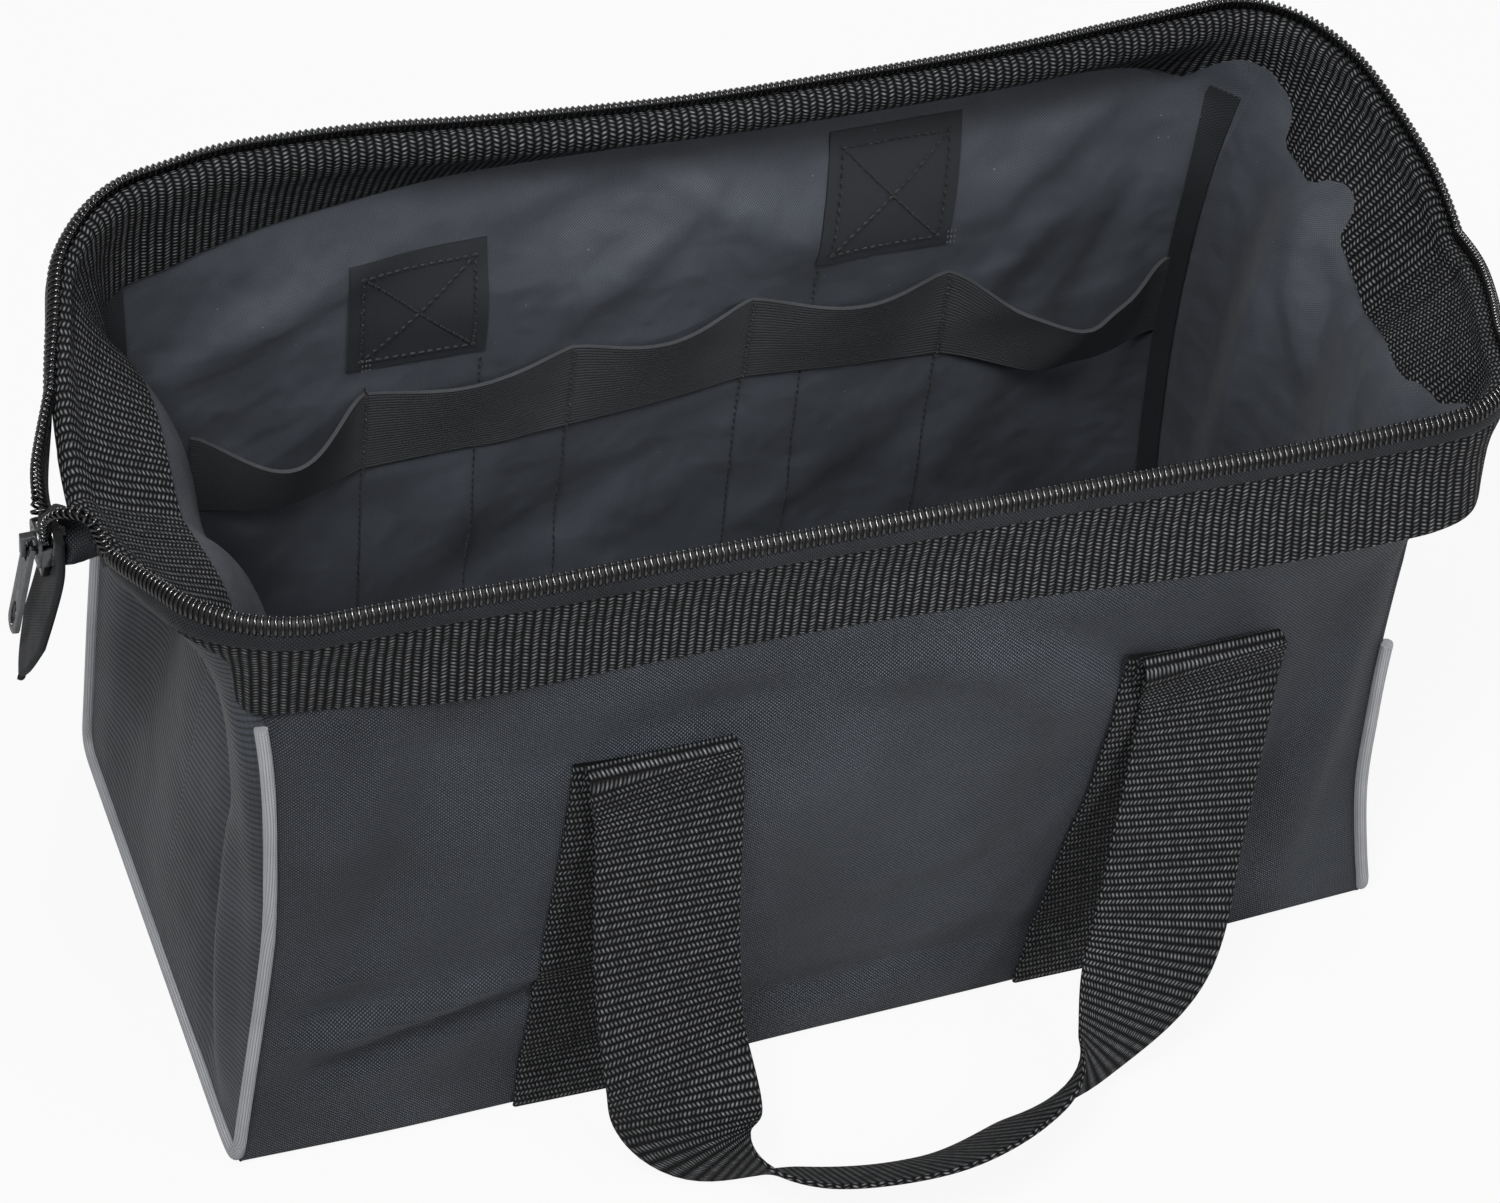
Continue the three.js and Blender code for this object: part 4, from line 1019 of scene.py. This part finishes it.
# Where each upright piping comes out of its seam
PIPING_TOP = {(FRONT, LEFT): 200, (FRONT, RIGHT): 132, (BACK, LEFT): 200, (BACK, RIGHT): 160}


# Passes that round the cord's turn at the foot
ROUNDING_PASSES = 14


def build_piping():
    """One cord up each corner's seam and along half of its end, rounded where it turns."""
    for side, end in CORNERS:
        upright = wall_line(side, end * HALF_LENGTH, np.linspace(PIPING_TOP[side, end], 6, 50))
        upright += np.array([end * 1.5, side * 1.5, 0])
        foot = upright[-1]
        turn = [foot + [0, -side * 0.5, -2.4], foot + [0, -side * 2.5, -3.6]]
        ground = [[end * (HALF_LENGTH + 1.4), side * y, 2.4] for y in np.linspace(84, 0, 20)]
        line = evenly(np.vstack([upright, turn, ground]), 160)
        for _ in range(ROUNDING_PASSES):
            line[1:-1] += (line[:-2] + line[2:] - 2 * line[1:-1]) * 0.25
        half = half_name(side, end)
        made = rod(f"{half}_piping_cord", line, PIPING_DIAMETER / 2, PIPING, 12)
        between(made, ("base", f"{SIDE_NAME[side]}_side"), (end * 0.2, side * 0.088, 0.004),
                (end * 0.2, side * 0.088, 0.022), "piping", f"{half}_piping",
                f"{END_NAME[end]}_base_piping")


# ---------------------------------------------------------------- straps and handles

STRAP_GAP = CLOTH / 2 + WEBBING_THICKNESS / 2 + 0.15
# How far the foot of each sewn strap stands to the left of its fold
STRAP_LEAN = {(FRONT, LEFT): 8.0, (FRONT, RIGHT): 11.0, (BACK, LEFT): 0.0, (BACK, RIGHT): 0.0}


def build_sewn_straps():
    heights = np.linspace(1.5, FOLD_HEIGHT, 70)
    for side in (FRONT, BACK):
        for x in STRAPS_X[side]:
            end = LEFT if x < 0 else RIGHT
            lean = STRAP_LEAN[side, end] * (1 - heights / FOLD_HEIGHT)
            rows = long_side_strip(side, x - lean, heights, STRAP_GAP, WEBBING_WIDTH)
            made = webbing_strip(f"{half_name(side, end)}_strap", rows[4], rows[-1] - rows[0])
            on_body(made, f"{SIDE_NAME[side]}_side", "webbing", f"{half_name(side, end)}_sewn_strap")


# The front handle's middle line: place along X from its first fold, distance out, height
FIRST_LEG = [[6, 103.5, 145], [5, 117, 96], [7, 131, 56], [15, 145, 28]]
LOOP_RUN = [[44, 161, 22], [84, 168, 22], [118, 161, 23]]
SECOND_LEG = [[147, 148, 30], [169, 133, 56], [179, 117, 96], [186, 103.5, 145]]
# Distance along X between the two folds that the legs are drawn for
LEGS_APART = 180.0
# Distance out of the handles' folds, in metres, and two heights about the folds' top
FOLD_OUT, ON_SIDE, ON_HANDLE = 0.0976, 0.172, 0.160
# How the width of the webbing stands at the loop's outer run
RUN_TILT = math.radians(40)
RUN_SKEW = -0.2


def fold_over(side, x, at_x):
    """The webbing's turn over a handle's fold, from the wall outward."""
    foot = on_long_side(side, x, FOLD_HEIGHT, STRAP_GAP + 0.5)
    points = [[at_x, foot[1], FOLD_HEIGHT - down] for down in (9, 4)]
    for angle in np.linspace(math.pi, 0.15, 9):
        points.append([at_x, foot[1] + side * FOLD_RADIUS * (1 + math.cos(angle)),
                       FOLD_HEIGHT + FOLD_RADIUS * math.sin(angle)])
    return np.array(points)


def build_handles():
    for side in (FRONT, BACK):
        first, second = STRAPS_X[side]
        stretch = (second - first) / LEGS_APART
        way = np.sign(stretch)
        legs = FIRST_LEG + LOOP_RUN + SECOND_LEG
        free = np.array([[first + a * stretch, side * out, z] for a, out, z in legs])
        start = fold_over(side, first, first + 3 * way)
        finish = fold_over(side, second, second + 3 * way)[::-1]
        along = np.array([way, 0, 0])
        upright = unit(np.array([RUN_SKEW, side * math.sin(RUN_TILT), math.cos(RUN_TILT)]))
        turned = [along] * 4 + [unit(along + upright)] + [upright] * 3
        turned += [unit(upright - along)] + [-along] * 4
        middle = smooth_through(np.vstack([start[-1:], free, finish[:1]]), 14)
        across = unit(smooth_through(np.array(turned), 14))
        middle = np.vstack([start[:-1], middle, finish[1:]])
        across = np.vstack([[along] * 10, across, [-along] * 10])
        name = f"{SIDE_NAME[side]}_handle"
        made = webbing_strip(f"{name}_webbing", middle, across)
        between(made, (f"{SIDE_NAME[side]}_side", name), (0, side * FOLD_OUT, ON_SIDE),
                (0, side * FOLD_OUT, ON_HANDLE), "webbing", name)


# ---------------------------------------------------------------- inside

# Middle x and height of each patch, and how far it leans to the right going up
PATCHES = {LEFT: (-90.0, 176.0, 0.02), RIGHT: (73.5, 190.0, 0.16)}
PATCH_WIDTH, PATCH_HEIGHT = 47.0, 43.0
# Middle x and height of the bar tack in a corner of each patch
TACKS = {LEFT: (-107, 157), RIGHT: (95, 172)}
INNER = -(CLOTH / 2 + 0.55)


def box_stitch_lines(x, z, slant):
    """Lines of a box stitch with a cross in it, in (x, height)."""
    w, h = PATCH_WIDTH / 2 - 4.5, PATCH_HEIGHT / 2 - 4.5
    corners = [(x - w - h * slant, z - h), (x + w - h * slant, z - h),
               (x + w + h * slant, z + h), (x - w + h * slant, z + h)]
    lines = [(corners[i], corners[(i + 1) % 4]) for i in range(4)]
    return lines + [(corners[0], corners[2]), (corners[1], corners[3])]


def stitched(name, segments, offset, finish, pitch, length, thickness):
    """Stitches along straight (x, height) segments on the back side's lining."""
    lines, ups = [], []
    for (x0, z0), (x1, z1) in segments:
        count = max(3, int(math.hypot(x1 - x0, z1 - z0) / 6))
        lines.append(np.array([on_long_side(BACK, x0 + (x1 - x0) * t, z0 + (z1 - z0) * t, offset)
                               for t in np.linspace(0, 1, count)]))
        ups.append(-BACK * np.array([0, 1.0, 0]))
    made = repeated(name, STITCH_TREE, lines, ups, finish,
                    Pitch=pitch, Length=length, Thickness=thickness)
    on_body(made, "back_side", "lining")


def build_patches():
    for end, (x, z, slant) in PATCHES.items():
        heights = np.linspace(z - PATCH_HEIGHT / 2, z + PATCH_HEIGHT / 2, 25)
        grid = long_side_strip(BACK, x, heights, INNER - 0.6, PATCH_WIDTH, 25)
        grid[:, :, 0] += (heights - z) * slant
        made = cloth_panel(f"{END_NAME[end]}_patch_cloth", grid, 1.1, [PATCH])
        on_body(made, "back_side", "lining", f"{END_NAME[end]}_handle_patch")
        stitched(f"{END_NAME[end]}_patch_stitches", box_stitch_lines(x, z, slant),
                 INNER - 1.5, THREAD, 2.9, 2.1, 0.9)
    for end, (x, z) in TACKS.items():
        tack = [((x + dx, z - 2.2), (x + dx, z + 2.2)) for dx in (-1.6, -0.4, 0.9)]
        stitched(f"{END_NAME[end]}_patch_tack", tack, INNER - 1.6, TACK_THREAD, 1.5, 1.2, 0.5)


ELASTIC_SEAMS = np.array([
    # x, bottom, top
    [-166, 106, 139], [-107, 109, 143], [-36, 112, 149], [26, 120, 157], [97, 116, 154],
    [182, 108, 143]], float)
# For each pocket: how far its edge stands off the wall and drops, and its foot's share of that
POCKETS = [(20.0, 6.0, 0.4), (7.0, 1.0, 0.05), (8.0, 2.0, 0.08), (9.0, 2.0, 0.1), (26.0, 8.0, 0.5)]


def build_elastic():
    grid = []
    for a, b, pocket in zip(ELASTIC_SEAMS, ELASTIC_SEAMS[1:], POCKETS):
        sag, drop, foot = pocket
        for t in np.linspace(0, 1, 24, endpoint=pocket is POCKETS[-1]):
            x, low, high = a + (b - a) * t
            wave = math.sin(math.pi * t) ** 1.3
            rows = []
            for v in np.linspace(0, 1, 9):
                base = on_long_side(BACK, x, low + (high - low) * v - drop * wave * v, INNER - 0.8)
                base[1] -= sag * wave * (foot + (1 - foot) * v)
                rows.append(base)
            grid.append(rows)
    made = cloth_panel("elastic_pockets", np.array(grid), 1.3, [ELASTIC])
    on_body(made, "back_side", "elastic", "elastic_tool_band")


# Top x and height of the seams that come through from the back's sewn straps
STRAP_SEAMS = [(-68, 150), (48, 165)]


def build_pocket_stitching():
    """The seams that hold the elastic and the handles' webbing, down the back's inside."""
    seams = [((x, z + 36), (x, 8)) for x, z, _ in ELASTIC_SEAMS[1:-1]]
    seams += [((x, z), (x, 8)) for x, z in STRAP_SEAMS]
    stitched("back_lining_seams", seams, INNER - 0.35, THREAD, 3.2, 2.5, 0.8)
    edges = [((x, z + 1), (x, z + 36)) for x, z, _ in ELASTIC_SEAMS[1:-1]]
    stitched("elastic_seams", edges, INNER - 2.0, THREAD, 2.4, 2.0, 0.9)


# The seam bindings: bottom and top, and least and greatest distance from the corner's seam
BINDING_ENDS, BINDING_INSETS = (9, 214), (2, 10)


def build_bindings():
    heights = np.linspace(*BINDING_ENDS, 60)
    for side, end in CORNERS:
        rows = []
        for inset in np.linspace(*BINDING_INSETS, 6):
            line = wall_line(side, end * (HALF_LENGTH - inset), heights)
            line[:, 1] -= side * 1.7
            rows.append(line)
        half = half_name(side, end)
        made = cloth_panel(f"{half}_binding", np.array(rows), 0.9, [BINDING])
        on_body(made, f"{SIDE_NAME[side]}_side", "lining", f"{half}_seam_binding")


# ---------------------------------------------------------------- slider end

def softened(node, finish, width, body, slot):
    """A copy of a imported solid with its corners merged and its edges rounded."""
    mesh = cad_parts[node].data.copy()
    mesh.materials.clear()
    mesh.materials.append(finish)
    made = add_object(f"{node}_finished", mesh)
    weld = made.modifiers.new("weld", "WELD")
    weld.merge_threshold = 1e-5
    bevel = made.modifiers.new("round", "BEVEL")
    bevel.width = width * MM
    bevel.segments = 3
    bevel.limit_method = "ANGLE"
    bevel.angle_limit = math.radians(35)
    settle(made)
    made.data.shade_smooth()
    made.data.set_sharp_from_angle(angle=math.radians(40))
    on_body(made, body, slot, node)


def build_slider():
    softened("slider", GUNMETAL, 0.35, "slider", "gunmetal")
    softened("slider_pull", GUNMETAL, 0.45, "pull", "gunmetal")
    softened("zip_chain_end", NYLON, 0.5, "front_frame", "nylon")


def build_end_tab():
    """Webbing folded double behind the slider and cut to a point."""
    line = smooth_through([[-238, -14, 229], [-238, -14, 214], [-240.5, -14, 200],
                           [-244, -14, 185], [-247, -14, 172], [-248.5, -14, 164]], 10)
    share = np.linspace(0, 1, len(line))
    width = 19 * np.clip((1 - share) / 0.4, 0.1, 1)
    rings = [strip_rings([point, point - UP * 0.1], np.array([[0, 1.0, 0]] * 2), wide, 2.4)[0]
             for point, wide in zip(line, width)]
    made = loft("zip_end_tab_webbing", rings, [TAPE], along=lengths(line))
    on_body(made, "front_frame", "webbing", "zip_end_tab")


def build_twisted_tape():
    """The loose end of the zip's tape, which twists under the coil and ends in a roll."""
    line = smooth_through([[-237, -14, 221], [-232, -18, 224], [-226, -20, 222],
                           [-220, -18, 215], [-215, -16, 208]], 12)
    share = np.linspace(0, 1, len(line))
    turn = np.radians(20 + 150 * share)
    across = np.stack([0.3 * np.sin(turn), np.cos(turn), np.sin(turn)], 1)
    rings = []
    for i, (point, side_way) in enumerate(zip(line, across)):
        step = line[min(i + 1, len(line) - 1)] - line[max(i - 1, 0)]
        pair = [point - step * 0.01, point + step * 0.01]
        rings.append(strip_rings(pair, np.array([side_way] * 2), 15 - 4 * share[i], 1.6, 10)[0])
    made = loft("twisted_tape", rings, [TAPE], along=lengths(line))
    on_body(made, "front_frame", "outer_cloth")


def build_zip_tails():
    """The zip's last stretches, off the band and into the slider."""
    ends = {
        FRONT: [[-231, -29, 243.5], [-237, -23, 242], [-240.6, -17.5, 235], [-241, -15.6, 227]],
        BACK: [[-236.5, 10, 229], [-240, -6, 230], [-241, -12.4, 227]],
    }
    for side in (FRONT, BACK):
        word, rim = SIDE_NAME[side], RIMS[side, LEFT]
        keep = rim.y >= ZIP_STOP
        line = rim.section(*COIL_MIDDLE)[keep]
        foot = rim.section(*TAPE_LINE[1])[keep][-1]
        start = line[-1]
        path = smooth_through(np.vstack([line[-4:-3], [start], ends[side]]), 16)[16:]
        share = np.linspace(0, 1, len(path))[:, None]
        down = unit(unit(foot - start) * (1 - share) + np.array([0.5, -side * 1.0, -0.3]) * share)
        rings = strip_rings(path + down * 4.6, down, 8.5, 0.9, 6)
        tape = loft(f"{word}_tail_tape", rings, [TAPE], along=lengths(path))
        teeth = repeated(f"{word}_tail_teeth", COIL_TREE, [path], [-down], NYLON)
        for made, slot in ((tape, "outer_cloth"), (teeth, "nylon")):
            on_body(made, "front_frame", slot, f"{word}_zip_tail")


def build_wires():
    for (side, end), rim in RIMS.items():
        made = rod(f"{half_name(side, end)}_spring_wire", rim.wire[rim.y > WIRE_STOP], 2.0, STEEL)
        on_rim(made, side, end, "steel", f"{SIDE_NAME[side]}_wire")


# ---------------------------------------------------------------- room, light and camera

def build_floor():
    mesh = bpy.data.meshes.new("floor")
    size = 6.0
    mesh.from_pydata([(-size, -size, 0), (size, -size, 0), (size, size, 0), (-size, size, 0)], [],
                     [(0, 1, 2, 3)])
    material, tree, shader = start_material("white floor", 0.9)
    feed(tree, shader, {"Base Color": (0.42, 0.42, 0.42, 1)})
    glow = place(tree, "ShaderNodeEmission", {"Color": (1, 1, 1, 1), "Strength": 1.0})
    path = place(tree, "ShaderNodeLightPath")
    seen = times(tree, path.outputs["Is Camera Ray"], 0.92)
    mix = place(tree, "ShaderNodeMixShader", {0: seen, 1: shader.outputs[0], 2: glow.outputs[0]})
    feed(tree, tree.nodes["Material Output"], {"Surface": mix.outputs[0]})
    mesh.materials.append(material)
    add_object("floor", mesh)


def build_world():
    world = bpy.data.worlds.new("studio")
    bpy.context.scene.world = world
    world.use_nodes = True
    tree = world.node_tree
    tree.nodes.clear()
    path = place(tree, "ShaderNodeLightPath")
    seen = calc(tree, "MAXIMUM", path.outputs["Is Camera Ray"], path.outputs["Is Transmission Ray"])
    dim, white = (place(tree, "ShaderNodeBackground", {"Color": (1, 1, 1, 1), "Strength": strength})
                  for strength in (0.18, 1.0))
    mix = place(tree, "ShaderNodeMixShader", {0: seen, 1: dim.outputs[0], 2: white.outputs[0]})
    place(tree, "ShaderNodeOutputWorld", {"Surface": mix.outputs[0]})


def aimed_lamp(data, power, place_at, aim):
    data.energy = power
    made = add_object(data.name, data)
    made.location = place_at
    made.rotation_euler = (Vector(aim) - Vector(place_at)).to_track_quat("-Z", "Y").to_euler()


def lamp(name, place_at, aim, size, power):
    data = bpy.data.lights.new(name, "AREA")
    data.shape = "DISK"
    data.size = size
    aimed_lamp(data, power, place_at, aim)


def spot(name, place_at, aim, cone, power):
    """A narrow soft beam, for the sheen that the photo has in one place only."""
    data = bpy.data.lights.new(name, "SPOT")
    data.spot_size = math.radians(cone)
    data.spot_blend = 1.0
    data.shadow_soft_size = 0.12
    aimed_lamp(data, power, place_at, aim)


def build_lamps():
    # name, place and aim in metres, then size in metres or cone in degrees, and power in watts
    lamp("key", (-0.8, -0.8, 1.9), (-0.05, 0.05, 0.2), 0.5, 33)
    lamp("top", (-0.1, -0.3, 2.3), (0, 0, 0.1), 0.9, 11)
    lamp("front", (0.9, -1.2, 0.8), (0.1, -0.1, 0.2), 0.4, 5)
    lamp("back", (0.9, 1.7, 1.4), (0, 0, 0.15), 0.8, 14)
    spot("front sheen", (0.25, -1.1, 1.1), (0.03, -0.11, 0.165), 18, 40)
    spot("lining sheen", (-0.15, -0.75, 1.3), (-0.02, 0.085, 0.185), 11, 30)


# The photograph's view: turn, tilt and roll in degrees, the point that it aims at, how far the
# camera stands off it in metres, and the focal length as a share of the picture's width
VIEW_TURN, VIEW_TILT, VIEW_ROLL = -26.585, 47.095, 8.452
VIEW_AIM = (30.63, 69.434, 29.745)
VIEW_DISTANCE = 1.612244
VIEW_FOCUS = 4606.781 / 1500


def build_camera():
    turn, tilt, roll = (math.radians(angle) for angle in (VIEW_TURN, VIEW_TILT, VIEW_ROLL))
    data = bpy.data.cameras.new("view")
    data.sensor_fit = "HORIZONTAL"
    data.sensor_width = 36
    data.lens = VIEW_FOCUS * data.sensor_width
    data.clip_start, data.clip_end = 0.05, 50
    camera = add_object("view", data)
    camera.matrix_world = (
        Matrix.Translation(Vector(VIEW_AIM) * MM) @ Matrix.Rotation(turn, 4, "Z")
        @ Matrix.Rotation(math.pi / 2 - tilt, 4, "X") @ Matrix.Rotation(roll, 4, "Z")
        @ Matrix.Translation((0, 0, VIEW_DISTANCE)))
    bpy.context.scene.camera = camera


# ---------------------------------------------------------------- the bag

bpy.context.scene.view_settings.view_transform = "Standard"
for build in (build_camera, build_world, build_lamps, build_floor):
    build()
for each_side in (FRONT, BACK):
    build_long_wall(each_side)
for each_end in (LEFT, RIGHT):
    build_end_wall(each_end)
for build in (build_base, build_board, build_piping, build_bands, build_hinge_covers, build_zips,
              build_sewn_straps, build_handles, build_patches, build_elastic, build_pocket_stitching,
              build_bindings, build_slider, build_end_tab, build_twisted_tape, build_zip_tails,
              build_wires):
    build()
